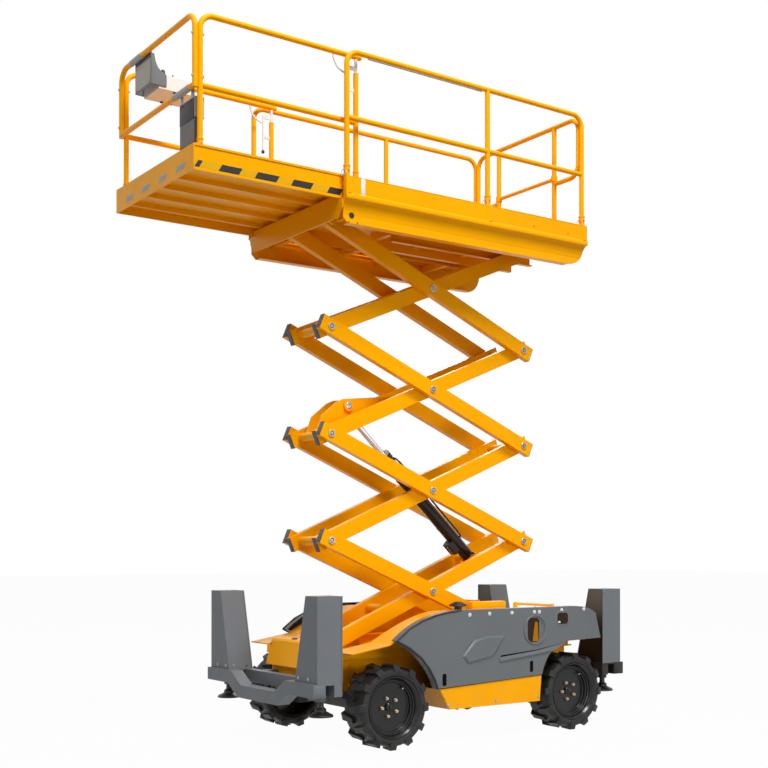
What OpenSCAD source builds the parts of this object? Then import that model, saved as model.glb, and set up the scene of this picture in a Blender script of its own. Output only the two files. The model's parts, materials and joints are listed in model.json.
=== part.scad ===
// Rough-terrain scissor lift with a roll-out deck and four levelling jacks.
// Front is -X, the near side is -Y, the ground is Z = 0. Lengths in mm, angles in degrees.

/* [Wheels] */
// Distance between the two axle lines
wheelbase = 1903; // [1850:1:1960]
// Outer diameter of a tyre over its lugs
tyre_d = 660; // [620:1:670]
// Width of a tyre
tyre_w = 290; // [240:1:300]
// Width of the machine over its tyres
overall_w = 1800; // [1790:1:1840]
// Diameter of a rim over its flanges
rim_d = 485; // [440:1:510]
// Depth of the wheel disc behind the outer flange
dish = 96; // [60:1:120]
// Wall of a rim barrel
rim_wall = 9; // [6:1:14]
// Diameter of a wheel spindle
spindle_d = 90; // [70:1:110]
// Height of a tyre's lugs
lug_h = 24; // [16:1:28]
// Lugs around each half of a tyre
lug_n = 12; // [10:1:16]
// Diameter of a kingpin
kingpin_d = 44; // [30:1:60]

/* [Scissor] */
// Arm length from pin to pin
arm_len = 2229; // [2200:1:2260]
// Angle of the arms above the level
lift_angle = 22.77; // [16:0.01:30]
// Height of an arm's section
arm_h = 124; // [110:1:126]
// Thickness of an arm's section
arm_t = 60; // [50:1:62]
// Outer face of the outer arms from the middle plane
outer_y = 295; // [288:1:300]
// Room between an outer and an inner arm
arm_gap = 5; // [4:1:8]
// Length of an arm past its pin at the free joints
arm_over = 95; // [75:1:110]
// Diameter of the scissor pins
pin_d = 50; // [40:1:56]
// Diameter of a pin's head
pin_head_d = 62; // [58:1:70]
// Thickness of a pin's head
pin_head_t = 6; // [4:1:8]
// Diameter of the cross tubes
tube_d = 70; // [60:1:80]
// Front pins from the middle of the wheelbase
pivot_x = -1156; // [-1165:1:-1150]
// Height of the lowest pins
base_z = 767; // [766:1:780]
// Diameter of a track roller
roller_d = 76; // [66:1:80]
// Width of a track roller
roller_w = 40; // [30:1:44]

/* [Lift cylinder] */
// Cylinder from the middle plane
cyl_y = 0; // [-4:1:4]
// Base pin along the lowest inner arm
cyl_base_s = 1810; // [1780:1:1840]
// Base pin above that arm's middle line
cyl_base_n = 16; // [10:1:24]
// Rod eye along the third inner arm
cyl_eye_s = 372; // [350:1:390]
// Rod eye above that arm's middle line
cyl_eye_n = 128; // [120:1:136]
// Diameter of the barrel
barrel_d = 112; // [90:1:120]
// Length of the barrel from its base pin
barrel_len = 1300; // [1260:1:1340]
// Diameter of the rod
rod_d = 54; // [40:1:60]
// Diameter of the base pin
base_pin_d = 60; // [50:1:66]
// Outer diameter of the rod eye
eye_d = 90; // [80:1:96]
// Width of the rod eye
eye_w = 56; // [40:1:60]
// Diameter of the bracket shaft
shaft_d = 52; // [40:1:56]
// Thickness of the rod bracket plates
gusset_t = 18; // [14:1:22]

/* [Chassis] */
// Half width of the main frame
frame_half_w = 410; // [390:1:420]
// Underside of the main frame
frame_z = 395; // [380:1:420]
// Top of the chassis deck
deck_z = 697; // [690:1:698]
// Thickness of the deck plate beside the frame
frame_wall = 12; // [8:1:16]
// Front end of the main frame ahead of the front axle
frame_ahead = 348.5; // [340:0.5:356]
// Rear end of the main frame behind the rear axle
frame_behind = 338.5; // [330:0.5:346]
// Inner wall of the side pods from the middle plane
pod_wall_y = 506; // [504:1:512]
// Top of the side pods
pod_z = 1046; // [1030:1:1052]
// Sheet thickness of the pods
pod_sheet = 8; // [5:1:10]
// Underside of the pod trays
tray_z = 273; // [260:1:300]
// Front end of a pod tray behind the front axle
tray_behind = 550.5; // [540:0.5:570]
// Rear end of a pod tray ahead of the rear axle
tray_ahead = 382.5; // [376:0.5:400]

/* [Covers] */
// Outer face of a side cover from the middle plane
cover_y = 880; // [868:1:884]
// Depth of a side cover
cover_depth = 80; // [60:1:90]
// Sheet thickness of a cover
cover_sheet = 6; // [4:1:10]
// Diameter of the latch dish
latch_d = 190; // [150:1:210]

/* [Levelling jacks] */
// Front jack line ahead of the front axle
jack_ahead = 585.5; // [580:0.5:596]
// Rear jack line behind the rear axle
jack_behind = 489.5; // [484:0.5:504]
// Jack line from the middle plane
jack_y = 740; // [735:1:745]
// Diameter of a jack foot
foot_d = 190; // [160:1:200]
// Height of the feet above the ground
foot_z = 292; // [280:1:320]
// Diameter of a jack rod
jack_rod_d = 46; // [36:1:54]
// Outer diameter of a jack barrel
jack_barrel_d = 80; // [70:1:86]
// Depth of a jack column along the machine
column_x = 212; // [200:1:220]
// Outer face of a jack column
column_y = 860; // [855:1:870]
// Width of a column at its top
column_top_w = 170; // [165:1:200]
// Width of a column at its foot
column_foot_w = 325; // [280:1:340]
// Top of the columns
column_top = 1205; // [1150:1:1230]
// Seat of the columns on the jack beams
column_z = 549; // [540:1:560]
// Sheet thickness of the columns
column_sheet = 6; // [4:1:10]
// Underside of a jack beam at its ends
beam_z = 446; // [440:1:460]
// Drop of the front beam between its ends
beam_drop = 104; // [80:1:120]
// Reach of a jack beam past its columns
beam_lip = 35; // [30:1:40]
// Hole of a tie-down lug
lug_hole_d = 44; // [36:1:50]
// Thickness of a tie-down lug
lug_t = 22; // [16:1:30]

/* [Platform] */
// Half width of the platform
plat_half_w = 770; // [760:1:790]
// Front end of the platform
plat_front = -1337; // [-1350:1:-1330]
// Rear end of the platform past the stowed rollers
plat_tail = 155; // [140:1:170]
// Deck underside above the top pins
deck_rise = 69; // [68:1:80]
// Sill below the top of the deck
sill_drop = 42; // [38:1:46]
// Deck sheet thickness
deck_t = 6; // [4:1:8]
// Depth of the side channels below the sill
channel_h = 178; // [160:1:185]
// Top of the toe boards above the deck
toe_h = 128; // [110:1:150]
// Thickness of the toe boards
toe_t = 8; // [5:1:10]
// Top rail above the deck
rail_h = 1127; // [1100:1:1150]
// Middle rail above the deck
mid_rail_h = 591; // [560:1:620]
// Diameter of the rail tube
rail_d = 42; // [34:1:44]
// Bend radius of the rail corners
rail_bend = 105; // [80:1:120]
// Diameter of a post sleeve
sleeve_d = 52; // [50:1:56]
// Height of a post sleeve above the deck
sleeve_h = 218; // [200:1:240]
// Half width of the gateway at the rear
gate_half_w = 385; // [350:1:400]

/* [Roll-out deck] */
// Front end of the roll-out deck
ext_front = -2576; // [-2600:1:-2540]
// Length of the roll-out deck
ext_len = 1480; // [1440:1:1500]
// Half width of the roll-out deck
ext_half_w = 698; // [680:1:700]
// Running room over the platform deck
ext_gap = 11; // [8:1:14]
// Depth of the ribs under the roll-out deck
rib_h = 34; // [24:1:40]
// Height of its toe boards
ext_toe_h = 188; // [170:1:200]

/* [Clearances] */
// Radial room of a turning pin
pin_room = 0.3; // [0.2:0.05:0.5]
// Room of a roller in its track
roller_room = 0.3; // [0.2:0.05:1]
// Room between panels that open and their neighbours
panel_room = 6; // [5:1:10]

/* [Hidden] */
$fn = 48;

yellow = "#f5ab00";
grey = "#6c7276";
dark = "#2c2d30";
black = "#17181a";
steel = "#b9bcc0";
pale = "#d9d8d4";

// Scissor layout
levels = 4;
arm_dx = arm_len * cos(lift_angle);
level_h = arm_len * sin(lift_angle);
rear_pin_x = pivot_x + arm_dx;
top_z = base_z + levels * level_h;
outer_in = outer_y - arm_t;
inner_out = outer_in - arm_gap;
inner_in = inner_out - arm_t;
pin_tip = inner_in + 2;
roller_y = outer_y + pin_head_t + arm_gap;
track_out = roller_y + roller_w + roller_room;

// Places along the machine
front_axle = -wheelbase / 2;
rear_axle = wheelbase / 2;
axle_z = tyre_d / 2;
tyre_in = overall_w / 2 - tyre_w;
tyre_out = overall_w / 2;
kingpin_y = tyre_in - 54;
frame_front = front_axle - frame_ahead;
frame_rear = rear_axle + frame_behind;
tray_front = front_axle + tray_behind;
tray_rear = rear_axle - tray_ahead;
jack_front = front_axle - jack_ahead;
jack_rear = rear_axle + jack_behind;

// Rear edge of the rear jack beam and front edge of the roll-out deck set the middle of the part
jack_rear_edge = jack_rear + column_x / 2 + beam_lip;
row_x = -(ext_front + jack_rear_edge) / 2;

plat_deck = top_z + deck_rise + deck_t;
plat_rear = pivot_x + arm_len + plat_tail;
sill_z = plat_deck - sill_drop;
ext_z = plat_deck + ext_gap;
ext_low = ext_z - sill_drop;
ext_lip = 6;
ext_deck = ext_z + rib_h;
ext_rear = ext_front + ext_len;

function level_z(i) = base_z + (i - 1) * level_h;
function along(s, n) =
  [s * cos(lift_angle) - n * sin(lift_angle), s * sin(lift_angle) + n * cos(lift_angle)];
function curve(a, c, b, n = 8) =
  [for (i = [0:n]) let (t = i / n) a * (1 - t) * (1 - t) + c * 2 * t * (1 - t) + b * t * t];

// Ends of the lift cylinder
cyl_base = [pivot_x, base_z] + along(cyl_base_s, cyl_base_n);
cyl_eye = [pivot_x, level_z(3)] + along(cyl_eye_s, cyl_eye_n);
cyl_len = norm(cyl_eye - cyl_base);
cyl_tilt = atan2(cyl_eye[1] - cyl_base[1], cyl_base[0] - cyl_eye[0]);

module placed() { translate([row_x, 0, 0]) children(); }

module both_sides() {
  children();
  mirror([0, 1, 0]) children();
}

// A box between two corners
module block(lo, hi) { translate(lo) cube(hi - lo); }

// An outline in X and Z, given its thickness from y0 to y1
module slab(y0, y1) { translate([0, y1, 0]) rotate([90, 0, 0]) linear_extrude(y1 - y0) children(); }

// An outline in Y and Z, given its thickness from x0 to x1
module sheet(x0, x1) { translate([x0, 0, 0]) rotate([90, 0, 90]) linear_extrude(x1 - x0) children(); }

module bar_x(d, x0, x1) { translate([x0, 0, 0]) rotate([0, 90, 0]) cylinder(d = d, h = x1 - x0); }

module bar_y(d, y0, y1) { translate([0, y0, 0]) rotate([-90, 0, 0]) cylinder(d = d, h = y1 - y0); }

module bar_z(d, z0, z1) { translate([0, 0, z0]) cylinder(d = d, h = z1 - z0); }

// Chassis

ear_t = 24;
ear_w = 130;

// Frame box, deck, bulkheads, pivot ears and roller tracks
module chassis_frame() {
  color(yellow) placed() {
    difference() {
      block([frame_front, -frame_half_w, frame_z], [frame_rear, frame_half_w, deck_z]);
      both_sides() fork_arch();
    }
    both_sides() {
      block([frame_front, frame_half_w - 1, deck_z - frame_wall], [frame_rear, pod_wall_y, deck_z]);
      pivot_ear();
      roller_track();
    }
  }
}

// Room over a kingpin fork, for a machine so narrow that the fork reaches under its frame
module fork_arch() {
  half = axle_box / 2 + arm_gap;
  block([front_axle - half, fork_in - fork_t - arm_gap, frame_z - 1],
    [front_axle + half, kingpin_y + half, axle_z + fork_half_h + arm_gap]);
}

// Ear beside each inner arm's foot, with the pin that the arm turns on
module pivot_ear() {
  slab(outer_in, outer_in + ear_t) union() {
    translate([pivot_x, base_z]) circle(d = ear_w * 0.75);
    translate([pivot_x - ear_w / 2, deck_z - 1]) square([ear_w, base_z - deck_z]);
  }
  translate([pivot_x, 0, base_z]) bar_y(pin_d, pin_tip, outer_in + ear_t);
}

track_t = 10;
track_front = pivot_x + arm_len * 0.35 - roller_d;
track_rear = pivot_x + arm_len + roller_d / 2 + 10;

module roller_track() {
  under = base_z - roller_d / 2 - roller_room;
  over = base_z + roller_d / 2 + roller_room;
  block([track_front, roller_y, under - track_t], [track_rear, track_out, under]);
  block([track_front, roller_y, over], [track_rear, track_out, over + track_t]);
  block([track_front, track_out, deck_z - 1], [track_rear, track_out + track_t, over + track_t]);
  block([track_front, roller_y, deck_z - 1], [track_rear, roller_y + track_t, under]);
}

hood_reach = 85;
hood_lap = 38;
hood_front = frame_front - hood_reach;
hood_rear = frame_front + hood_lap;
hood_lean = 58;
hood_edge = [14, 16];
hood_rise = 18;
hood_z = 600;
hood_top = 812;
hood_half_w = 372;

// Sloped nose cover between the front jack columns
module front_hood() {
  color(yellow) placed()
    slab(-hood_half_w, hood_half_w) polygon([[frame_front, hood_z], [hood_front, hood_z],
      [hood_front + hood_lean, hood_top - hood_edge[1]], [hood_front + hood_lean + hood_edge[0], hood_top],
      [hood_rear, hood_top + hood_rise], [hood_rear, deck_z], [frame_front, deck_z]]);
}

// Upper edge of a pod from its rear to its nose
pod_nose_x = frame_front + 10;
pod_tail_x = rear_axle + 288;
pod_edge = concat([[pod_tail_x, pod_z - 54], [rear_axle + 34, pod_z]],
  curve([front_axle + 662, pod_z], [front_axle + 432, pod_z - 10], [front_axle + 28, pod_z - 234]),
  [[pod_nose_x, deck_z + 57]]);
pod_out_y = cover_y - cover_depth - panel_room;

// Inner walls and tops of the two side pods
module pod_housings() {
  color(yellow) placed() both_sides() {
    slab(pod_wall_y, pod_wall_y + pod_sheet)
      polygon(concat(pod_edge, [[pod_nose_x, deck_z - frame_wall], [pod_tail_x, deck_z - frame_wall]]));
    slab(pod_wall_y, pod_out_y)
      polygon(concat(pod_edge, [for (i = [len(pod_edge) - 1:-1:0]) pod_edge[i] - [0, pod_sheet]]));
    for (x = hinge_xs) translate([x, hinge_y, hinge_z]) difference() {
      union() {
        bar_x(hinge_d, 0, hinge_len);
        block([0, -hinge_d / 2, pod_z - hinge_z - 1], [hinge_len, hinge_d / 2, 0]);
      }
      bar_x(hinge_pin_d + 2 * pin_room, -1, hinge_len + 1);
    }
  }
}

hinge_d = 16;
hinge_pin_d = 8;
hinge_len = 60;
hinge_xs = [-100, 760];
hinge_y = pod_out_y - 12;
hinge_z = pod_z + hinge_d / 2;

tray_lip = 440;
tray_slope = 100;
tray_sheet = 8;
tray_out = cover_y - 8;

// Pod trays with their slanted fronts
module skirts() {
  color(yellow) placed() both_sides() difference() {
    slab(frame_half_w, tray_out) tray_outline(0, 0);
    slab(frame_half_w + tray_sheet, tray_out - tray_sheet) tray_outline(tray_sheet, 1);
  }
}

// Side view of a tray, drawn in by its sheet and drawn up past its open top
module tray_outline(inset, past) {
  polygon([[tray_front + inset, tray_z + inset], [tray_rear - inset, tray_z + inset],
    [tray_rear + 19 - inset, tray_lip + 50 + past], [tray_front - tray_slope + inset, tray_lip + past]]);
}

engine_lo = [-330, -790, tray_z + tray_sheet];
engine_hi = [430, -530, 940];

// Engine, pump and tank under the near cover as one plain block
module engine_block() { color(dark) placed() block(engine_lo, engine_hi); }

axle_box = 120;
fork_in = kingpin_y - 70;
fork_t = 30;
knuckle_half_h = 62;
fork_half_h = knuckle_half_h + arm_gap + fork_t;
mount_half_w = 150;
hub_in = tyre_in + 90;

// Front axle with its kingpin forks, rear axle with its spindles
module axles() {
  color(dark) placed() {
    translate([front_axle, 0, 0]) difference() {
      union() {
        axle_beam(fork_in);
        both_sides() fork();
      }
      both_sides() translate([0, kingpin_y, 0]) bar_z(kingpin_d + 2 * pin_room, 0, tyre_d);
    }
    translate([rear_axle, 0, 0]) {
      axle_beam(tyre_in);
      both_sides() translate([0, 0, axle_z]) bar_y(spindle_d, tyre_in - 1, spindle_tip);
    }
  }
}

// Square beam with the block that bolts it under the frame
module axle_beam(half_len) {
  block([-axle_box / 2, -half_len, axle_z - axle_box / 2],
    [axle_box / 2, half_len, axle_z + axle_box / 2]);
  block([-axle_box / 2, -mount_half_w, axle_z], [axle_box / 2, mount_half_w, frame_z]);
}

module fork() {
  arm_z = knuckle_half_h + arm_gap;
  for (dz = [-arm_z - fork_t, arm_z])
    translate([0, 0, axle_z + dz]) linear_extrude(fork_t) union() {
      translate([0, kingpin_y]) circle(d = axle_box * 0.8);
      translate([-axle_box * 0.4, fork_in - 1]) square([axle_box * 0.8, kingpin_y - fork_in + 1]);
    }
  block([-axle_box / 2, fork_in - fork_t, axle_z - fork_half_h],
    [axle_box / 2, fork_in, axle_z + fork_half_h]);
}

spindle_tip = tyre_out - dish - 8;

module knuckle() {
  placed() translate([front_axle, 0, axle_z]) {
    translate([0, kingpin_y, 0]) bar_z(kingpin_d, -fork_half_h, fork_half_h);
    translate([0, kingpin_y, 0]) bar_z(axle_box * 0.75, -knuckle_half_h, knuckle_half_h);
    bar_y(spindle_d, kingpin_y, spindle_tip);
    bar_y(spindle_d + 40, kingpin_y, tyre_in + 20);
    block([0, kingpin_y - 20, -14], [200, kingpin_y + 20, 14]);
  }
}

module knuckle_near() { color(dark) mirror([0, 1, 0]) knuckle(); }

module knuckle_far() { color(dark) knuckle(); }

// Wheels

barrel_r = rim_d / 2 - 12;
rim_lip_r = rim_d / 2 - 1;
rim_out = tyre_out - 12;
rim_in = tyre_in + 12;
bead_room = 0.3;

// Turns a profile of radius and distance from the middle plane about the wheel's axis
module turned(x) { placed() translate([x, 0, axle_z]) rotate([-90, 0, 0]) rotate_extrude() children(); }

lug_root = tyre_d / 2 - 58;
tread_r = tyre_d / 2 - lug_h;

// Tyre with a row of slanted lugs on each half
module tyre(x) {
  turned(x) polygon([[barrel_r + bead_room, rim_in + 11], [rim_lip_r + 1, rim_in + 7],
    [rim_d / 2 + 8, tyre_in + 10], [lug_root, tyre_in + 8], [tread_r - 8, tyre_in + 18],
    [tread_r, tyre_in + 50],
    [tread_r, tyre_out - 50], [tread_r - 8, tyre_out - 18], [lug_root, tyre_out - 8],
    [rim_d / 2 + 8, tyre_out - 10], [rim_lip_r + 1, rim_out - 7], [barrel_r + bead_room, rim_out - 11]]);
  placed() translate([x, (tyre_in + tyre_out) / 2, axle_z]) for (i = [1:lug_n]) {
    rotate([0, i * 360 / lug_n, 0]) lug();
    rotate([0, (i + 0.5) * 360 / lug_n, 0]) mirror([0, 1, 0]) lug();
  }
}

// Slanted block from the middle of the tread over its shoulder, with a flat top
module lug() {
  half = tyre_w / 2;
  top = tyre_d / 2 - 0.5;
  intersection() {
    translate([0, 0, lug_root]) linear_extrude(top - lug_root)
      polygon([[-30, -8], [18, -8], [48, half], [-12, half], [-20, half * 0.4]]);
    sheet(-tyre_w, tyre_w)
      polygon([[-tyre_w, 0], [half, 0], [half, top - 40], [half - 16, top], [-tyre_w, top]]);
  }
}

hub_d = 150;
disc_t = 14;

module rim(x) {
  disc = tyre_out - dish;
  difference() {
    turned(x) polygon([[0, disc], [barrel_r - rim_wall - 6, disc], [barrel_r - rim_wall, disc + 14],
      [barrel_r - rim_wall, rim_out - 14], [rim_lip_r - 8, rim_out], [rim_lip_r, rim_out],
      [rim_lip_r, rim_out - 6], [barrel_r, rim_out - 10], [barrel_r, rim_in + 10], [rim_lip_r, rim_in + 6],
      [rim_lip_r, rim_in], [barrel_r - rim_wall, rim_in + 8], [barrel_r - rim_wall, disc - disc_t],
      [hub_d / 2, disc - disc_t],
      [hub_d / 2, hub_in + 20], [0, hub_in + 20]]);
    placed() translate([x, 0, axle_z]) bar_y(spindle_d + 2 * pin_room, 0, spindle_tip + 2);
  }
}

module tyre_front_near() { color(dark) mirror([0, 1, 0]) tyre(front_axle); }
module tyre_front_far() { color(dark) tyre(front_axle); }
module tyre_rear_near() { color(dark) mirror([0, 1, 0]) tyre(rear_axle); }
module tyre_rear_far() { color(dark) tyre(rear_axle); }
module rim_front_near() { color(black) mirror([0, 1, 0]) rim(front_axle); }
module rim_front_far() { color(black) rim(front_axle); }
module rim_rear_near() { color(black) mirror([0, 1, 0]) rim(rear_axle); }
module rim_rear_far() { color(black) rim(rear_axle); }

// Side covers

cover_top = pod_z + 20;
cover_nose = [front_axle + 28, cover_top - 222];
cover_outline = concat(
  curve(cover_nose, [front_axle + 262, cover_top - 14], [front_axle + 662, cover_top]),
  curve([rear_axle + 28, cover_top], [rear_axle + 198, cover_top - 6],
    [rear_axle + 270, cover_top - 69], 4),
  [[rear_axle + 330, 780], [rear_axle + 98, 772]],
  curve([rear_axle - 52, 768], [rear_axle - 302, 740], [tray_rear + 19, tray_lip + 50 + panel_room], 6),
  curve([tray_front - tray_slope - 22, tray_lip + panel_room], [front_axle + 352, 690], cover_nose, 6));
latch_at = [507, 879];
latch_slot = [70, latch_d - 40];
hand_hole = [823, 966];
hand_hole_size = [78, 62];
edge_slots = [[-463, 517], [470, 573]];
edge_slot_size = [18, 80];
press_outline = [[-273, 700], [-225, 680], [70, 690], [167, 837], [-120, 822], [-190, 800]];
dish_depth = 3;

// Pressed pan with a rolled rim, a latch dish, a hand hole and two slots
module side_cover() {
  placed() difference() {
    slab(cover_y - cover_depth, cover_y) polygon(cover_outline);
    slab(cover_y - cover_depth - 1, cover_y - cover_sheet)
      offset(delta = -cover_sheet) polygon(cover_outline);
    slab(cover_y - dish_depth, cover_y + 1) {
      translate(latch_at) circle(d = latch_d);
      polygon(press_outline);
    }
    slab(cover_y - cover_sheet - 1, cover_y + 1) {
      translate(latch_at) square(latch_slot, center = true);
      translate(hand_hole) square(hand_hole_size, center = true);
      for (place = edge_slots) translate(place) square(edge_slot_size, center = true);
    }
  }
  placed() for (x = hinge_xs) translate([x, hinge_y, hinge_z]) hinge_leaf();
}

// Pin and leaves that hang a cover on its pod
module hinge_leaf() {
  leaf_w = 20;
  bar_x(hinge_pin_d, -leaf_w, hinge_len + leaf_w);
  for (x = [-leaf_w, hinge_len + 1]) {
    bar_x(hinge_d - 1, x, x + leaf_w - 1);
    block([x, 0, -hinge_d / 2 + 1],
      [x + leaf_w - 1, cover_y - cover_depth - hinge_y + 1, hinge_d / 2 - 1]);
  }
}

module cover_near() { color(grey) mirror([0, 1, 0]) side_cover(); }

module cover_far() { color(grey) side_cover(); }

cap_at = [-115, -620, 0];

module intake_cap() {
  color(black) placed() translate(cap_at) {
    bar_z(64, pod_z, pod_z + 44);
    translate([0, 0, pod_z + 40]) cylinder(d1 = 150, d2 = 120, h = 18);
    translate([0, 0, pod_z + 58]) cylinder(d1 = 120, d2 = 50, h = 16);
  }
}

// Levelling jacks

column_in_top = column_y - column_top_w;
column_in_foot = column_y - column_foot_w;
jack_xs = [jack_front, jack_rear];
drop_y = 440;
drop_foot_y = 270;
beam_bar = 110;
back_bar = 70;
back_lip = 10;
seat_t = 12;
barrel_over = 40;

// Dropped front beam, straight rear beam, jack barrels and the arms that tie them to the frame
module jack_beams() {
  color(grey) placed() difference() {
    union() {
      translate([jack_front, 0, 0]) jack_beam(beam_drop);
      translate([jack_rear, 0, 0]) mirror([1, 0, 0]) jack_beam(0);
      both_sides() {
        block([jack_front + column_x / 2, tie_y, beam_z], [frame_front, tie_y + tie_w, column_z]);
        block([frame_rear, tie_y, beam_z], [jack_rear - column_x / 2, tie_y + tie_w, column_z]);
        for (x = lug_xs) tie_down(x);
      }
    }
    for (x = jack_xs) both_sides() translate([x, jack_y, 0])
      bar_z(jack_rod_d + 2 * pin_room, beam_z - barrel_over - 1, column_top - 2 * barrel_over);
    for (x = lug_xs) both_sides() translate([x, 0, lug_z])
      bar_y(lug_hole_d, tie_y, tie_y + tie_w);
  }
}

// Outer bar that may drop between its ends, inner bar, column seats and jack barrels, drawn for the front
module jack_beam(drop) {
  outer = -column_x / 2 - beam_lip;
  inner = column_x / 2 + back_lip;
  sheet(outer, outer + beam_bar) bar_outline(drop);
  sheet(inner - back_bar, inner) bar_outline(0);
  both_sides() {
    block([outer, column_in_foot, column_z - seat_t], [inner, column_y, column_z]);
    translate([0, jack_y, 0]) bar_z(jack_barrel_d, beam_z - barrel_over, column_top - 1.5 * barrel_over);
  }
}

tie_y = 300;
tie_w = 80;
lug_xs = [frame_front - 65, frame_rear + 55];
lug_z = beam_z - lug_hole_d;

// Lashing eye under an arm of a jack beam
module tie_down(x) {
  slab(tie_y + tie_w / 2 - lug_t / 2, tie_y + tie_w / 2 + lug_t / 2) union() {
    translate([x, lug_z]) circle(d = 2 * lug_hole_d);
    translate([x - lug_hole_d, lug_z]) square([2 * lug_hole_d, beam_z + 1 - lug_z]);
  }
}

module bar_outline(drop) {
  bend = (column_z - beam_z) / 2;
  polygon([[-column_y, column_z], [-drop_y, column_z], [-drop_foot_y, column_z - drop],
    [drop_foot_y, column_z - drop], [drop_y, column_z], [column_y, column_z],
    [column_y, beam_z], [drop_y + bend, beam_z], [drop_foot_y + bend, beam_z - drop],
    [-drop_foot_y - bend, beam_z - drop], [-drop_y - bend, beam_z], [-column_y, beam_z]]);
}

// Tapered sheet housings over the jack barrels
module jack_columns() {
  color(grey) placed() for (x = jack_xs) both_sides() difference() {
    sheet(x - column_x / 2, x + column_x / 2) polygon([[column_in_foot, column_z], [column_y, column_z],
      [column_y, column_top], [column_in_top, column_top]]);
    sheet(x - column_x / 2 + column_sheet, x + column_x / 2 - column_sheet)
      polygon([[column_in_foot + column_sheet, column_z - 1], [column_y - column_sheet, column_z - 1],
        [column_y - column_sheet, column_top - column_sheet],
        [column_in_top + column_sheet, column_top - column_sheet]]);
  }
}

pad_t = 22;

module jack_foot(x) {
  placed() translate([x, jack_y, foot_z]) {
    cylinder(d = foot_d, h = pad_t * 0.6);
    translate([0, 0, pad_t * 0.6 - 0.5]) cylinder(d1 = foot_d - 20, d2 = foot_d * 0.5, h = pad_t);
    translate([0, 0, pad_t]) cylinder(d = foot_d * 0.42, h = pad_t * 1.6);
    cylinder(d = jack_rod_d, h = column_top - 120 - foot_z);
  }
}

module foot_front_near() { color(black) mirror([0, 1, 0]) jack_foot(jack_front); }
module foot_front_far() { color(black) jack_foot(jack_front); }
module foot_rear_near() { color(black) mirror([0, 1, 0]) jack_foot(jack_rear); }
module foot_rear_far() { color(black) jack_foot(jack_rear); }

// Scissor arms

// Side outline of an arm along +X from its first pin, with a round or a square end at each pin
module arm_outline(round_start, round_end) {
  x0 = round_start ? 0 : -arm_over;
  x1 = arm_len + (round_end ? 0 : arm_over);
  translate([x0, -arm_h / 2]) square([x1 - x0, arm_h]);
  if (round_start) circle(d = arm_h);
  if (round_end) translate([arm_len, 0]) circle(d = arm_h);
}

// Lays an arm of an inner pair, low at the front
module inner_at(i) { placed() translate([pivot_x, 0, level_z(i)]) rotate([0, -lift_angle, 0]) children(); }

// Lays an arm of an outer pair, low at the rear
module outer_at(i) {
  placed() translate([rear_pin_x, 0, level_z(i)]) mirror([1, 0, 0]) rotate([0, -lift_angle, 0]) children();
}

// Two bored inner arms with cross tubes at the given places along them
module inner_pair(round_start, round_end, tubes, last_bore = true) {
  both_sides() difference() {
    slab(inner_in, inner_out) arm_outline(round_start, round_end);
    for (s = [0, arm_len / 2, last_bore ? arm_len : 0])
      translate([s, 0, 0]) bar_y(pin_d + 2 * pin_room, inner_in - 1, inner_out + 1);
  }
  for (s = tubes) translate([s, 0, 0]) bar_y(tube_d, -inner_in - 1, inner_in + 1);
}

// Two outer arms with their pins, which turn in the inner arms
module outer_pair(round_start, round_end, pins) {
  both_sides() {
    slab(outer_in, outer_y) arm_outline(round_start, round_end);
    for (s = pins) translate([s, 0, 0]) {
      bar_y(pin_d, pin_tip, outer_y);
      bar_y(pin_head_d, outer_y - 1, outer_y + pin_head_t);
    }
  }
}

mid_tube = arm_len * 0.33;

module inner_arms_1() {
  color(yellow) inner_at(1) {
    inner_pair(true, false, [0, mid_tube]);
    translate([cyl_base_s, 0, cyl_base_n]) bar_y(base_pin_d, -inner_in - 1, inner_in + 1);
  }
}

module inner_arms_2() { color(yellow) inner_at(2) inner_pair(false, false, [0, arm_len]); }

module inner_arms_3() {
  color(yellow) inner_at(3) {
    inner_pair(false, false, [0, arm_len]);
    rod_bracket();
  }
}

module inner_arms_4() {
  color(yellow) inner_at(4) {
    inner_pair(false, true, [0], false);
    both_sides() translate([arm_len, 0, 0])
      bar_y(roller_d, inner_in - arm_gap - roller_w * 0.75, inner_in + 1);
  }
}

eye_room = 4;
gland_d = barrel_d + 12;
gusset_in = gland_d / 2 + arm_gap;
gusset_out = gusset_in + gusset_t;
web_t = 20;
web_s = [90, 700];

// Gussets beside the rod, webs that tie them to the third inner arms, and a split shaft
module rod_bracket() {
  plate = [[-30, 0], [100, cyl_eye_n + 10], [cyl_eye_s - 90, cyl_eye_n + 64],
    [cyl_eye_s - 20, cyl_eye_n + 66], [820, arm_h * 0.45], [760, -arm_h * 0.35], [40, -arm_h * 0.4]];
  both_sides() {
    slab(gusset_in, gusset_out) polygon(plate);
    block([web_s[0], gusset_out - 1, -web_t / 2], [web_s[1], inner_in + 1, web_t / 2]);
    translate([cyl_eye_s, 0, cyl_eye_n]) bar_y(shaft_d + 40, gusset_out - 1, gusset_out + 20);
  }
  translate([cyl_eye_s, 0, cyl_eye_n]) {
    bar_y(shaft_d, -gusset_out, cyl_y - eye_w / 2 - eye_room);
    bar_y(shaft_d, cyl_y + eye_w / 2 + eye_room, gusset_out);
  }
}

module outer_arms_1() {
  color(yellow) outer_at(1) {
    outer_pair(true, false, [arm_len / 2, arm_len]);
    both_sides() {
      bar_y(pin_d, outer_y - 1, roller_y);
      bar_y(roller_d, roller_y, roller_y + roller_w);
    }
  }
}

module outer_arms_2() { color(yellow) outer_at(2) outer_pair(false, false, [0, arm_len / 2, arm_len]); }

module outer_arms_3() { color(yellow) outer_at(3) outer_pair(false, false, [0, arm_len / 2, arm_len]); }

module outer_arms_4() {
  color(yellow) outer_at(4) {
    outer_pair(false, true, [0, arm_len / 2]);
    both_sides() translate([arm_len, 0, 0]) bar_y(pin_d, outer_y - 1, plat_ear + ear_t);
  }
}

// Lift cylinder

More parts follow.
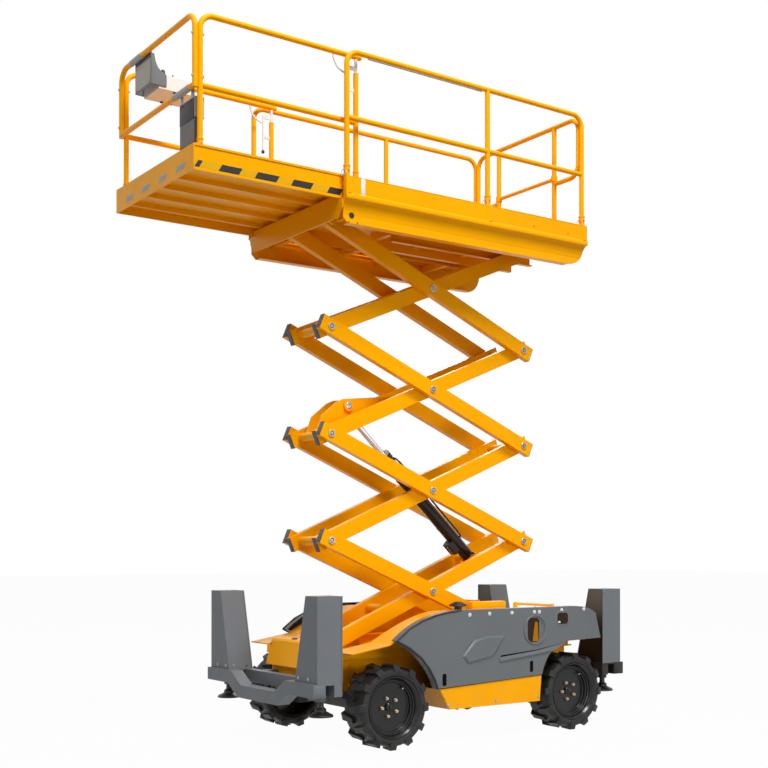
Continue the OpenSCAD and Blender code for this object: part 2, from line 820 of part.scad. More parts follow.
// Lays the cylinder along +X from its base pin to its rod eye
module cylinder_at() {
  placed() translate([cyl_base[0], cyl_y, cyl_base[1]]) rotate([0, 180 + cyl_tilt, 0]) children();
}

gland_len = 60;

module lift_barrel() {
  color(black) cylinder_at() difference() {
    union() {
      bar_y(base_pin_d + 50, -eye_w / 2, eye_w / 2);
      bar_x(barrel_d, base_pin_d / 2 + 4, barrel_len);
      bar_x(gland_d, barrel_len - gland_len, barrel_len);
      block([150, -45, barrel_d / 2 - 12], [270, 45, barrel_d / 2 + 46]);
    }
    bar_y(base_pin_d + 2 * pin_room, -eye_w, eye_w);
    bar_x(rod_d + 2 * pin_room, base_pin_d, barrel_len + 1);
  }
}

rod_in = 825;

module lift_rod() {
  color(steel) cylinder_at() difference() {
    union() {
      bar_x(rod_d, barrel_len - rod_in, cyl_len - shaft_d / 2);
      translate([cyl_len, 0, 0]) bar_y(eye_d, -eye_w / 2, eye_w / 2);
    }
    translate([cyl_len, 0, 0]) bar_y(shaft_d + 2 * pin_room, -eye_w, eye_w);
  }
}

// Platform

channel_y = plat_half_w - 42;
channel_t = 8;
plat_under = top_z + deck_rise;
plat_ear = outer_y + pin_head_t + arm_gap;
nose_t = 10;
// Cross members behind the front pins, and ahead of the rear end
cross_behind = [6, 676, 1106];
cross_ahead = [728, 278];
cross_xs = concat([for (x = cross_behind) pivot_x + x], [for (x = cross_ahead) plat_rear - x]);
cross_w = 50;
cross_h = 60;
bearer_y = plat_ear + ear_t + panel_room;
bearer_h = 100;
tail_len = 190;
track_in = inner_in - arm_gap - roller_w * 0.75 - 2;
sill_t = 6;
deck_edge = ext_half_w - ext_lip - toe_t - 12;
slot_z = ext_low - panel_room;
cross_top = slot_z - panel_room;
strip_t = 8;
flange_w = 70;
flange_back = 60;
nose_drop = 132;
nose_cut = [60, 70];

// Side channels, front nose plate, pivot ears, roller tracks and cross members
module platform_frame() {
  color(yellow) placed() {
    both_sides() {
      slab(channel_y - channel_t, channel_y) channel_outline();
      block([plat_front + flange_back, channel_y - flange_w, sill_z - channel_h],
        [plat_rear - tail_len, channel_y - 1, sill_z - channel_h + channel_t]);
      difference() {
        slab(plat_ear, plat_ear + ear_t) union() {
          translate([pivot_x, top_z]) circle(d = ear_w * 0.8);
          translate([pivot_x - ear_w * 0.4, top_z]) square([ear_w * 0.8, deck_rise]);
        }
        translate([pivot_x, 0, top_z]) bar_y(pin_d + 2 * pin_room, plat_ear - 1, plat_ear + ear_t + 1);
      }
      top_track();
      block([plat_front + nose_t, bearer_y, plat_under - bearer_h],
        [plat_rear - tail_len, bearer_y + channel_t, plat_under]);
      block([plat_front + nose_t, deck_edge - 2 * strip_t, cross_top - 1],
        [plat_rear - tail_len, deck_edge - strip_t, plat_under]);
      for (x = cross_xs)
        block([x, bearer_y, cross_top - cross_h], [x + cross_w, channel_y - channel_t / 2, cross_top]);
    }
    sheet(plat_front, plat_front + nose_t) nose_outline();
    for (x = cross_xs) block([x, -track_in, plat_under - cross_h], [x + cross_w, track_in, plat_under]);
  }
}

module channel_outline() {
  low = sill_z - channel_h;
  polygon(concat([[plat_front + nose_t, sill_z], [plat_front + nose_t, low + 40], [plat_front + 50, low]],
    curve([plat_rear - tail_len, low], [plat_rear - 20, low + 10], [plat_rear - 4, sill_z], 6)));
}

module nose_outline() {
  half = channel_y;
  top = plat_deck + ext_gap - panel_room;
  low = sill_z - nose_drop;
  polygon([[-half, slot_z], [-deck_edge, slot_z], [-deck_edge, top], [deck_edge, top], [deck_edge, slot_z],
    [half, slot_z], [half, low + nose_cut[1]], [half - nose_cut[0], low], [-half + nose_cut[0], low],
    [-half, low + nose_cut[1]]]);
}

module top_track() {
  under = top_z - roller_d / 2 - roller_room;
  block([track_front, track_in - track_t, under - track_t], [track_rear, inner_in - arm_gap, under]);
  block([track_front, track_in - track_t, under - 1], [track_rear, track_in, plat_under]);
}

// Deck between the slots of the roll-out deck's side boards, full width behind them, with two runners
module platform_deck() {
  wide = plat_half_w - toe_t;
  rear = plat_rear - toe_t;
  color(yellow) placed() {
    block([plat_front + nose_t, -deck_edge, plat_under], [slot_rear + 1, deck_edge, plat_deck]);
    block([slot_rear, -wide, plat_under], [rear, wide, plat_deck]);
    both_sides() block([plat_front + nose_t, runner_y - rib_w / 2, plat_deck - 1],
      [plat_front + nose_t + runner_len, runner_y + rib_w / 2, ext_z - bead_room]);
  }
}

mid_post_x = 108;
slot_rear = mid_post_x + sleeve_d;
sill_in = ext_half_w + 8;
runner_len = 70;
runner_y = 560;
rib_w = 44;
post_y = plat_half_w - toe_t - sleeve_d / 2;
rear_rail_x = plat_rear - toe_t - sleeve_d / 2;

// Boards on a sill flange that runs outside the roll-out deck's side boards
module toe_boards() {
  top = plat_deck + toe_h;
  color(yellow) placed() both_sides() {
    block([plat_front + nose_t, plat_half_w - toe_t, sill_z], [plat_rear, plat_half_w, top]);
    block([plat_front + nose_t, sill_in, sill_z], [plat_rear, plat_half_w, sill_z + sill_t]);
    block([plat_rear - toe_t, gate_half_w, sill_z], [plat_rear, plat_half_w, top]);
  }
}

// Quarter bend that turns from +X to +Z about the corner at the origin
module bend_xz(r) { rotate([90, 0, 0]) rotate_extrude(angle = 90) translate([r, 0]) circle(d = rail_d); }

front_post_x = plat_front + nose_t + sleeve_d / 2 + 2;

// Tube on a sleeve, from its seat up
module post(x, y, seat, top) {
  translate([x, y, 0]) {
    bar_z(rail_d, seat, top);
    bar_z(sleeve_d, seat, plat_deck + sleeve_h);
  }
}

// Quarter bend that turns from +Y to +Z about the corner at the origin
module bend_yz(r) { rotate([0, 0, 90]) bend_xz(r); }

rail_top = plat_deck + rail_h - rail_d / 2;
rail_mid = plat_deck + mid_rail_h;
loop_y = post_y - rail_d + 2;

// Side rails with a bent corner at each end, and the closed rear loop on its two inner posts
module guardrails() {
  color(yellow) placed() both_sides() {
    post(front_post_x, post_y, sill_z + sill_t, rail_top - rail_bend);
    post(mid_post_x, post_y, sill_z + sill_t, rail_top);
    post(rear_rail_x, post_y, plat_deck, rail_top - rail_bend);
    translate([0, post_y, rail_top]) bar_x(rail_d, front_post_x + rail_bend, rear_rail_x - rail_bend);
    translate([0, post_y, rail_mid]) bar_x(rail_d, front_post_x, rear_rail_x);
    translate([rear_rail_x - rail_bend, post_y, rail_top - rail_bend]) bend_xz(rail_bend);
    translate([front_post_x + rail_bend, post_y, rail_top - rail_bend])
      mirror([1, 0, 0]) bend_xz(rail_bend);
    rear_loop();
  }
}

// Half of the rear loop: top rail, leg, the lower rail up to the gateway and the inner post
module rear_loop() {
  translate([rear_rail_x, 0, rail_top]) bar_y(rail_d, -1, loop_y - rail_bend);
  translate([rear_rail_x, 0, rail_mid]) bar_y(rail_d, gate_half_w, loop_y - rail_bend);
  translate([rear_rail_x, loop_y, 0]) bar_z(rail_d, rail_mid + rail_bend, rail_top - rail_bend);
  translate([rear_rail_x, loop_y - rail_bend, rail_top - rail_bend]) bend_yz(rail_bend);
  translate([rear_rail_x, loop_y - rail_bend, rail_mid + rail_bend]) mirror([0, 0, 1]) bend_yz(rail_bend);
  post(rear_rail_x, gate_half_w, plat_deck, rail_top);
}

guide_h = 50;
guide_d = rail_d + 16;

// Bar across the gateway that slides up on the two inner posts
module gate() {
  low = rail_mid + rail_d / 2 + 0.5;
  color(yellow) placed() translate([rear_rail_x, 0, low]) difference() {
    union() {
      both_sides() translate([0, gate_half_w, 0]) bar_z(guide_d, 0, guide_h);
      translate([0, 0, guide_h / 2]) bar_y(rail_d * 0.8, -gate_half_w, gate_half_w);
    }
    both_sides() translate([0, gate_half_w, 0]) bar_z(rail_d + 1, -1, guide_h + 1);
  }
}

// Roll-out deck

rib_ys = [-runner_y, -runner_y / 2, 0, runner_y / 2, runner_y];
ext_sheet = 6;
ext_toe = ext_low + ext_toe_h;
lip_h = 16;

// Ribbed deck with lipped side boards that hang past its ribs, a front board and two runners at its rear
module extension_deck() {
  web = ext_half_w - ext_lip;
  color(yellow) placed() {
    block([ext_front, -web, ext_deck], [ext_rear, web, ext_deck + ext_sheet]);
    for (y = rib_ys) block([ext_front + 2, y - rib_w / 2, ext_z], [ext_rear, y + rib_w / 2, ext_deck + 1]);
    both_sides() {
      block([ext_front, web - toe_t, ext_low], [ext_rear, web, ext_toe]);
      block([ext_front, web - toe_t, ext_toe - lip_h], [ext_rear, ext_half_w, ext_toe]);
      block([ext_rear - runner_len, runner_y - rib_w / 2, plat_deck + bead_room],
        [ext_rear, runner_y + rib_w / 2, ext_z + 1]);
    }
    block([ext_front, -ext_half_w, ext_low], [ext_front + toe_t, ext_half_w, ext_toe]);
  }
}

ext_sleeve_d = rail_d + 4;
ext_rail_y = ext_half_w - ext_lip - toe_t - ext_sleeve_d / 2;
hoop_x = ext_front + toe_t + rail_d / 2;
ext_post_x = hoop_x + rail_d - 2;
ext_rear_post = ext_rear - 70;
ext_floor = ext_deck + ext_sheet;

// Side hoops, and the front hoop that is bolted to their front posts above the middle rail
module extension_rails() {
  color(yellow) placed() {
    both_sides() {
      for (x = [ext_post_x, ext_rear_post])
        translate([x, ext_rail_y, 0]) bar_z(ext_sleeve_d, ext_floor, ext_toe + sleeve_d);
      translate([ext_post_x, ext_rail_y, 0]) bar_z(rail_d, ext_floor, rail_top - rail_bend);
      translate([ext_rear_post, ext_rail_y, 0]) bar_z(rail_d, ext_floor, lever_z);
      translate([0, ext_rail_y, rail_top]) bar_x(rail_d, ext_post_x + rail_bend, ext_rear_post + rail_d);
      translate([0, ext_rail_y, rail_mid]) bar_x(rail_d, ext_post_x, ext_rear_post);
      translate([ext_post_x + rail_bend, ext_rail_y, rail_top - rail_bend])
        mirror([1, 0, 0]) bend_xz(rail_bend);
      translate([hoop_x, ext_rail_y, 0]) bar_z(rail_d, rail_mid - rail_d / 2, rail_top - rail_bend);
      translate([hoop_x, ext_rail_y - rail_bend, rail_top - rail_bend]) bend_yz(rail_bend);
    }
    translate([hoop_x, 0, rail_top]) bar_y(rail_d, rail_bend - ext_rail_y, ext_rail_y - rail_bend);
    translate([hoop_x, 0, rail_mid]) bar_y(rail_d, -ext_rail_y, ext_rail_y);
  }
}

panel_y = [140, 440];
panel_back = hoop_x + rail_d / 2;
plate_t = 8;
panel_low = rail_top - 250;

// Upper control box in its folded bracket, which hangs on the front top rail
module control_box() {
  reach = 130;
  color(pale) placed() translate([panel_back, 0, panel_low]) {
    block([0, panel_y[0], 0], [plate_t, panel_y[1], rail_top - panel_low]);
    for (y = [panel_y[0], panel_y[1] - plate_t]) slab(y, y + plate_t)
      polygon(concat([[0, 0], [reach, 0], [reach, 85]],
        curve([reach - 10, 95], [40, 110], [26, 235], 4), [[0, 235]]));
    slab(panel_y[0] + plate_t + 2, panel_y[1] - plate_t - 2)
      polygon([[reach - 60, -20], [reach + 240, -20], [reach + 240, 30], [reach + 150, 92], [reach - 60, 92]]);
    for (y = [panel_y[0], panel_y[1] - plate_t]) block([reach - 60, y, 30], [reach, y + plate_t + 3, 60]);
  }
}

doc_y = [-615, -365];
doc_low = ext_toe + 42;
doc_high = rail_mid - 64;
doc_t = 74;

// Document holder with its lid, hung on the front middle rail
module document_box() {
  split = (doc_low + doc_high) / 2 + 10;
  color(grey) placed() {
    block([panel_back, doc_y[0] + 6, doc_low], [panel_back + doc_t - 8, doc_y[1] - 6, split]);
    block([panel_back, doc_y[0], split - 1], [panel_back + doc_t, doc_y[1], doc_high]);
    for (y = [doc_y[0] + 20, doc_y[1] - 60])
      block([panel_back, y, doc_high - 1], [panel_back + plate_t, y + 40, rail_mid + rail_d / 2]);
  }
}

lever_drop = 130;
lever_z = rail_top - lever_drop;
lever_reach = 84;
lever_t = 10;
strut_h = [20, 50];
lever_rod_drop = 260;
brace_drop = [150, 125];
handle_r = 130;
handle_t = 12;

// Lock levers between the rear posts of the roll-out deck and its top rails
module lock_levers() {
  rod_x = ext_rear_post - lever_reach;
  color(pale) placed() both_sides() translate([0, ext_rail_y, 0]) {
    translate([ext_rear_post, 0, 0]) bar_z(rail_d * 0.6, lever_z, rail_top - rail_d / 2);
    block([rod_x, -lever_t / 2, lever_z + strut_h[0]], [ext_rear_post, lever_t / 2, lever_z + strut_h[1]]);
    translate([rod_x, 0, 0]) bar_z(handle_t + 2, lever_z - lever_rod_drop, lever_z + strut_h[1]);
    block([rod_x, -lever_t / 2, lever_z - brace_drop[0]],
      [ext_rear_post - rail_d / 2, lever_t / 2, lever_z - brace_drop[1]]);
    slab(-lever_t / 2, lever_t / 2) translate([rod_x, rail_top - rail_d / 2]) intersection() {
      difference() {
        circle(r = handle_r);
        circle(r = handle_r - handle_t);
      }
      translate([-handle_r, -handle_r]) square([handle_r + 1, handle_r]);
    }
  }
}

chassis_frame();
front_hood();
pod_housings();
skirts();
engine_block();
axles();
jack_beams();
jack_columns();
intake_cap();
cover_near();
cover_far();
knuckle_near();
knuckle_far();
tyre_front_near();
tyre_front_far();
tyre_rear_near();
tyre_rear_far();
rim_front_near();
rim_front_far();
rim_rear_near();
rim_rear_far();
foot_front_near();
foot_front_far();
foot_rear_near();
foot_rear_far();
inner_arms_1();
inner_arms_2();
inner_arms_3();
inner_arms_4();
outer_arms_1();
outer_arms_2();
outer_arms_3();
outer_arms_4();
lift_barrel();
lift_rod();
platform_frame();
platform_deck();
toe_boards();
guardrails();
gate();
extension_deck();
extension_rails();
control_box();
document_box();
lock_levers();
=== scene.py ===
"""Dresses the scissor lift: a finish for every solid, small fittings, hazard stripes and a plain studio."""
import json
import math

import bmesh
import bpy
from mathutils import Matrix, Vector


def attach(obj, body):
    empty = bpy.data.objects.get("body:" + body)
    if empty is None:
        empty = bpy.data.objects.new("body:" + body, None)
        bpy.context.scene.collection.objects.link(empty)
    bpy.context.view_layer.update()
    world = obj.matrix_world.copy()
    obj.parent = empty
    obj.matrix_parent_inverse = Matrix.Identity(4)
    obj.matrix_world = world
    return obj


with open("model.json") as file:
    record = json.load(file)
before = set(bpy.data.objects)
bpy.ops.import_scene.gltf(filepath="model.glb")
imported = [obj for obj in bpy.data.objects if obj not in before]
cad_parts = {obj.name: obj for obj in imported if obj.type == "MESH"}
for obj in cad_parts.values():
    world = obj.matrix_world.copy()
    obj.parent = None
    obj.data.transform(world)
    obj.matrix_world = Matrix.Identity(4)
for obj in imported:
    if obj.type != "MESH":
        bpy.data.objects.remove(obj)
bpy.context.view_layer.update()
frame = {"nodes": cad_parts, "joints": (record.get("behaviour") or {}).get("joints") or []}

bl_info = {
    "name": "Scissor lift dressing",
    "version": (1, 0, 0),
    "blender": (4, 5, 0),
    "location": "View3D > Sidebar > Scissor Lift",
    "description": "Finishes, fittings, stripes and studio for a rough-terrain scissor lift",
    "category": "Object",
}

JOINTS = {joint["name"]: joint for joint in frame["joints"]}
SIDES = {"near": -1, "far": 1}
ENDS = {"front": -1, "rear": 1}
CORNERS = [(end, side) for end in ENDS for side in SIDES]
LEVELS = range(1, 5)
UP = Vector((0.0, 0.0, 1.0))

# Front pins from the middle of the wheelbase: the source's own X, from which the frame is shifted
PIVOT_X = -1.156
ROW_X = JOINTS["lift"]["pos_m"][0] - PIVOT_X


def at(x, y, z):
    """A point given from the middle of the wheelbase, in the frame."""
    return Vector((x + ROW_X, y, z))


def outward(sign):
    """The direction away from the machine on one side."""
    return Vector((0.0, sign, 0.0))


def colour(red, green, blue):
    """An 8-bit display colour as the linear colour that shaders take."""
    parts = []
    for value in (red, green, blue):
        share = value / 255
        parts.append(share / 12.92 if share <= 0.04045 else ((share + 0.055) / 1.055) ** 2.4)
    return (*parts, 1.0)


def shade(name, words, red, green, blue):
    """A colour that the sidebar can change."""
    return bpy.props.FloatVectorProperty(
        name=name, description=words, subtype="COLOR", size=4, min=0.0, max=1.0, default=colour(red, green, blue))


def length(name, words, metres):
    """A size in metres that the sidebar can change."""
    return bpy.props.FloatProperty(name=name, description=words, unit="LENGTH", default=metres, min=0.0)


class LiftColours(bpy.types.PropertyGroup):
    """Colours of the finishes"""

    yellow: shade("Yellow", "Paint of the chassis, arms and platform", 252, 172, 2)
    grey: shade("Grey", "Paint of the jacks and their beams", 112, 117, 121)
    cover: shade("Cover grey", "Moulded side covers", 101, 106, 108)
    black: shade("Black", "Gloss black of the rims and cylinder", 22, 22, 24)
    dark: shade("Dark steel", "Axles, engine and pins", 38, 37, 38)
    rubber: shade("Rubber", "Tyres", 22, 22, 23)
    plastic: shade("Black plastic", "Seals, knobs and black stripes", 26, 26, 27)
    pale: shade("Pale plastic", "Control box and lock levers", 226, 221, 216)
    board: shade("Grey plastic", "Document box, front of the control bracket and strips", 172, 166, 158)
    worn: shade("Worn rubber", "Pads on the arms' ends", 98, 94, 92)
    zinc: shade("Zinc", "Bolts, pins and washers", 176, 176, 178)
    brass: shade("Yellow zinc", "Wheel nuts", 214, 188, 164)
    chrome: shade("Chrome", "Lift rod", 214, 216, 220)
    dust: shade("Dust", "Dry dust low on the machine", 148, 138, 122)
    red: shade("Red", "Stop button", 214, 26, 20)
    bumper: shade("Beam end", "Ends of the rear beam", 46, 42, 40)
    # Painted shade of the rear columns' faces towards the wheels, brown as painted reflection of the yellow paint
    hollow: shade("Column hollow", "Dull face of the rear columns", 44, 24, 6)
    # Painted shade: the covers' slots, and the painted shadow over their ledge
    gap: shade("Gap", "Slots and groove of the covers", 8, 8, 8)
    # Painted shade inside the covers' latch slot and hand hole
    recess: shade("Recess", "Inside of the covers' openings", 50, 36, 24)
    # A shaded copy of the yellow paint: painted shade on the strip behind the latch
    latch: shade("Latch", "Strip behind the covers' latch", 176, 112, 4)
    tape: shade("Yellow tape", "Tape between the black stripes", 222, 166, 6)
    reflector: shade("Grey tape", "Stripes on the front board", 150, 150, 152)


class LiftSizes(bpy.types.PropertyGroup):
    """Sizes of the small fittings"""

    bolt: length("Bolt head", "Radius of a panel bolt's head", 0.011)
    nut: length("Wheel nut", "Radius of a wheel nut", 0.016)
    nut_circle: length("Nut circle", "Radius of the circle of wheel nuts", 0.074)


def sizes():
    return bpy.context.scene.lift_sizes


def colours():
    return bpy.context.scene.lift_colours


# Finishes

WHITE = (1.0, 1.0, 1.0, 1.0)
BARE_STEEL = (0.32, 0.3, 0.27, 1.0)
WORN_YELLOW = (0.42, 0.24, 0.05, 1.0)
# Lighter colour of the tyres' lug edges: a painted highlight of lit lugs
RUBBER_EDGE_HIGHLIGHT = (0.11, 0.11, 0.115, 1.0)
COAT_ROUGHNESS = 0.12
RELIEF_DEPTH = 0.002

# Edge radii, in metres, of small fittings and of tape
SMALL_EDGE = 0.001
FILM_EDGE = 0.0005


def node_group(name, inputs, outputs):
    """An empty shader group with the given sockets, and its two ends."""
    group = bpy.data.node_groups.new(name, "ShaderNodeTree")
    for label, kind, default in inputs:
        socket = group.interface.new_socket(label, in_out="INPUT", socket_type=kind)
        socket.default_value = default
    for label, kind in outputs:
        group.interface.new_socket(label, in_out="OUTPUT", socket_type=kind)
    return group, group.nodes.new("NodeGroupInput"), group.nodes.new("NodeGroupOutput")


def feed(tree, socket, value):
    """Links a socket to an input, or sets the input to a plain value."""
    if isinstance(value, bpy.types.NodeSocket):
        tree.links.new(value, socket)
    else:
        socket.default_value = value


def noise(tree, scale, detail):
    """Noise on Object coordinates; scale is a number or a socket."""
    place = tree.nodes.new("ShaderNodeTexCoord")
    made = tree.nodes.new("ShaderNodeTexNoise")
    made.inputs["Detail"].default_value = detail
    tree.links.new(place.outputs["Object"], made.inputs["Vector"])
    feed(tree, made.inputs["Scale"], scale)
    return made.outputs["Fac"]


def span(tree, value, from_low, from_high, to_low, to_high):
    """A value mapped from one range to another; the ends of the new range may be sockets."""
    made = tree.nodes.new("ShaderNodeMapRange")
    tree.links.new(value, made.inputs["Value"])
    for label, end in (("From Min", from_low), ("From Max", from_high), ("To Min", to_low), ("To Max", to_high)):
        feed(tree, made.inputs[label], end)
    return made.outputs["Result"]


def reckon(tree, operation, first, second):
    """One step of arithmetic on sockets or numbers."""
    made = tree.nodes.new("ShaderNodeMath")
    made.operation = operation
    feed(tree, made.inputs[0], first)
    feed(tree, made.inputs[1], second)
    return made.outputs["Value"]


def mixed(tree, share, first, second, blend="MIX"):
    """Two colours mixed by a share."""
    made = tree.nodes.new("ShaderNodeMix")
    made.data_type = "RGBA"
    made.blend_type = blend
    # The mix node's sockets for colour: the share, both colours and the result
    for index, value in ((0, share), (6, first), (7, second)):
        feed(tree, made.inputs[index], value)
    return made.outputs[2]


def along(tree, axis, kind="Object"):
    """One axis of the Object coordinates, or of the way that the surface faces."""
    place = tree.nodes.new("ShaderNodeTexCoord")
    split = tree.nodes.new("ShaderNodeSeparateXYZ")
    tree.links.new(place.outputs[kind], split.inputs["Vector"])
    return split.outputs[axis]


def tone_group():
    """Slow change of tone over a coat of paint or plastic."""
    group, ins, outs = node_group(
        "Uneven tone",
        (("Color", "NodeSocketColor", (0.5, 0.5, 0.5, 1.0)), ("Depth", "NodeSocketFloat", 0.05),
         ("Scale", "NodeSocketFloat", 3.0)),
        (("Color", "NodeSocketColor"),))
    wave = noise(group, ins.outputs["Scale"], 5.0)
    low = reckon(group, "SUBTRACT", 1.0, ins.outputs["Depth"])
    factor = span(group, wave, 0.3, 0.7, low, 1.0)
    grey = group.nodes.new("ShaderNodeCombineColor")
    for label in ("Red", "Green", "Blue"):
        group.links.new(factor, grey.inputs[label])
    toned = mixed(group, 1.0, ins.outputs["Color"], grey.outputs["Color"], "MULTIPLY")
    group.links.new(toned, outs.inputs["Color"])
    return group


def dust_group():
    """Dry dust that thins out with height above the ground."""
    group, ins, outs = node_group(
        "Ground dust",
        (("Color", "NodeSocketColor", (0.5, 0.5, 0.5, 1.0)), ("Dust", "NodeSocketColor", (0.3, 0.26, 0.2, 1.0)),
         ("Amount", "NodeSocketFloat", 0.3), ("Reach", "NodeSocketFloat", 0.7)),
        (("Color", "NodeSocketColor"), ("Mask", "NodeSocketFloat")))
    fall = reckon(group, "DIVIDE", along(group, "Z"), ins.outputs["Reach"])
    low = span(group, fall, 0.0, 1.0, 1.0, 0.0)
    patches = span(group, noise(group, 9.0, 6.0), 0.35, 0.7, 0.0, 1.0)
    mask = reckon(group, "MULTIPLY", reckon(group, "MULTIPLY", low, patches), ins.outputs["Amount"])
    group.links.new(mixed(group, mask, ins.outputs["Color"], ins.outputs["Dust"]), outs.inputs["Color"])
    group.links.new(mask, outs.inputs["Mask"])
    return group


def edge_group():
    """Edges rounded by a small radius, and a mask of where they are."""
    group, ins, outs = node_group(
        "Soft edges",
        (("Radius", "NodeSocketFloat", 0.003),),
        (("Normal", "NodeSocketVector"), ("Mask", "NodeSocketFloat")))
    bevel = group.nodes.new("ShaderNodeBevel")
    bevel.samples = 4
    group.links.new(ins.outputs["Radius"], bevel.inputs["Radius"])
    face = group.nodes.new("ShaderNodeNewGeometry")
    likeness = group.nodes.new("ShaderNodeVectorMath")
    likeness.operation = "DOT_PRODUCT"
    group.links.new(bevel.outputs["Normal"], likeness.inputs[0])
    group.links.new(face.outputs["Normal"], likeness.inputs[1])
    group.links.new(bevel.outputs["Normal"], outs.inputs["Normal"])
    group.links.new(span(group, likeness.outputs["Value"], 0.98, 0.8, 0.0, 1.0), outs.inputs["Mask"])
    return group


def grain_group():
    """Fine unevenness: a height for bump and a spread of roughness."""
    group, ins, outs = node_group(
        "Fine grain",
        (("Scale", "NodeSocketFloat", 400.0), ("Roughness", "NodeSocketFloat", 0.4),
         ("Spread", "NodeSocketFloat", 0.08)),
        (("Height", "NodeSocketFloat"), ("Roughness", "NodeSocketFloat")))
    group.links.new(noise(group, ins.outputs["Scale"], 3.0), outs.inputs["Height"])
    low = reckon(group, "SUBTRACT", ins.outputs["Roughness"], ins.outputs["Spread"])
    high = reckon(group, "ADD", ins.outputs["Roughness"], ins.outputs["Spread"])
    group.links.new(span(group, noise(group, 14.0, 6.0), 0.3, 0.7, low, high), outs.inputs["Roughness"])
    return group


GROUP_MAKERS = {"tone": tone_group, "dust": dust_group, "edge": edge_group, "grain": grain_group}
GROUPS = {}
FINISHES = {}


def grouped(tree, key, **values):
    """One of the shared groups placed in a material with its own values."""
    if key not in GROUPS:
        GROUPS[key] = GROUP_MAKERS[key]()
    made = tree.nodes.new("ShaderNodeGroup")
    made.node_tree = GROUPS[key]
    for label, value in values.items():
        made.inputs[label].default_value = value
    return made


def finish(name, base, rough, spread=0.06, metallic=0.0, coat=0.0, tone=0.05, tone_scale=3.0, grain=400.0,
           bump=0.02, specular=0.4, sheen=WHITE, dust=0.0, wear_and_highlight=0.0, wear_and_highlight_colour=BARE_STEEL, edge=0.003,
           pattern=None, zone=None, zone_colour=None):
    """A material with uneven tone, dust, soft edges with a lighter colour (real wear on most finishes, a painted
    highlight on the tyres), grain, and a second colour in a zone (two-tone parts, and painted shade on the rear
    columns).
    """
    made = bpy.data.materials.new(name)
    made.use_nodes = True
    tree = made.node_tree
    shader = tree.nodes["Principled BSDF"]
    shader.inputs["Metallic"].default_value = metallic
    shader.inputs["Specular IOR Level"].default_value = specular
    shader.inputs["Specular Tint"].default_value = sheen
    shader.inputs["Coat Weight"].default_value = coat
    shader.inputs["Coat Roughness"].default_value = COAT_ROUGHNESS
    paint = grouped(tree, "tone", Color=base, Depth=tone, Scale=tone_scale).outputs["Color"]
    if zone:
        paint = mixed(tree, zone(tree), paint, zone_colour)
    if dust:
        dusted = grouped(tree, "dust", Dust=colours().dust, Amount=dust)
        tree.links.new(paint, dusted.inputs["Color"])
        paint = dusted.outputs["Color"]
    edges = grouped(tree, "edge", Radius=edge)
    if wear_and_highlight:
        # Lighter edges: real wear on most finishes, a painted highlight on the tyres
        patches = span(tree, noise(tree, 25.0, 4.0), 0.5, 0.7, 0.0, wear_and_highlight)
        paint = mixed(tree, reckon(tree, "MULTIPLY", edges.outputs["Mask"], patches), paint, wear_and_highlight_colour)
    tree.links.new(paint, shader.inputs["Base Color"])
    grained = grouped(tree, "grain", Scale=grain, Roughness=rough, Spread=spread)
    tree.links.new(grained.outputs["Roughness"], shader.inputs["Roughness"])
    relief = tree.nodes.new("ShaderNodeBump")
    relief.inputs["Strength"].default_value = bump
    relief.inputs["Distance"].default_value = RELIEF_DEPTH
    tree.links.new(edges.outputs["Normal"], relief.inputs["Normal"])
    tree.links.new(pattern(tree) if pattern else grained.outputs["Height"], relief.inputs["Height"])
    tree.links.new(relief.outputs["Normal"], shader.inputs["Normal"])
    FINISHES[name] = made


def raised_dots(tree):
    """Rows of small raised dots, as on a non-slip deck."""
    place = tree.nodes.new("ShaderNodeTexCoord")
    cells = tree.nodes.new("ShaderNodeTexVoronoi")
    cells.inputs["Scale"].default_value = 40.0
    cells.inputs["Randomness"].default_value = 0.0
    tree.links.new(place.outputs["Object"], cells.inputs["Vector"])
    return span(tree, cells.outputs["Distance"], 0.25, 0.4, 1.0, 0.0)


# Limits of the zones that have a second colour
BOX_BACK_X, BOX_SIDES_Y, LID_Z = -2.517, (0.149, 0.431), 4.669
REAR_X, BEAM_END_Y = 1.2, 0.62
# Top and foot of the painted shade on the rear columns
SHADE_TOP_Z, SHADE_FOOT_Z = 1.15, 0.75


def past(tree, axis, limit):
    """A mask of what lies past a height or a place along or across the machine."""
    return reckon(tree, "GREATER_THAN", along(tree, axis), limit)


def at_rear(tree):
    """A mask of what stands behind the rear wheels."""
    return past(tree, "X", at(REAR_X, 0, 0).x)


def box_body(tree):
    """The control box between the plates of its bracket."""
    behind = past(tree, "X", at(BOX_BACK_X, 0, 0).x)
    inside = reckon(tree, "SUBTRACT", *(past(tree, "Y", limit) for limit in BOX_SIDES_Y))
    return reckon(tree, "MULTIPLY", behind, inside)


def box_lid(tree):
    """The lid of the document box."""
    return past(tree, "Z", LID_Z)


def painted_column_shade(tree):
    """Painted shade on the face of the rear columns that looks at the wheels, brown at the top as painted
    reflection of the yellow paint and darker towards its foot.
    """
    ahead = reckon(tree, "LESS_THAN", along(tree, "X", "Normal"), -0.8)
    depth = span(tree, along(tree, "Z"), SHADE_TOP_Z, SHADE_FOOT_Z, 0.25, 0.97)
    return reckon(tree, "MULTIPLY", reckon(tree, "MULTIPLY", ahead, at_rear(tree)), depth)


def rear_ends(tree):
    """The ends of the rear beam, under the columns."""
    near = reckon(tree, "SUBTRACT", 1.0, past(tree, "Y", -BEAM_END_Y))
    either = reckon(tree, "ADD", near, past(tree, "Y", BEAM_END_Y))
    return reckon(tree, "MULTIPLY", either, at_rear(tree))


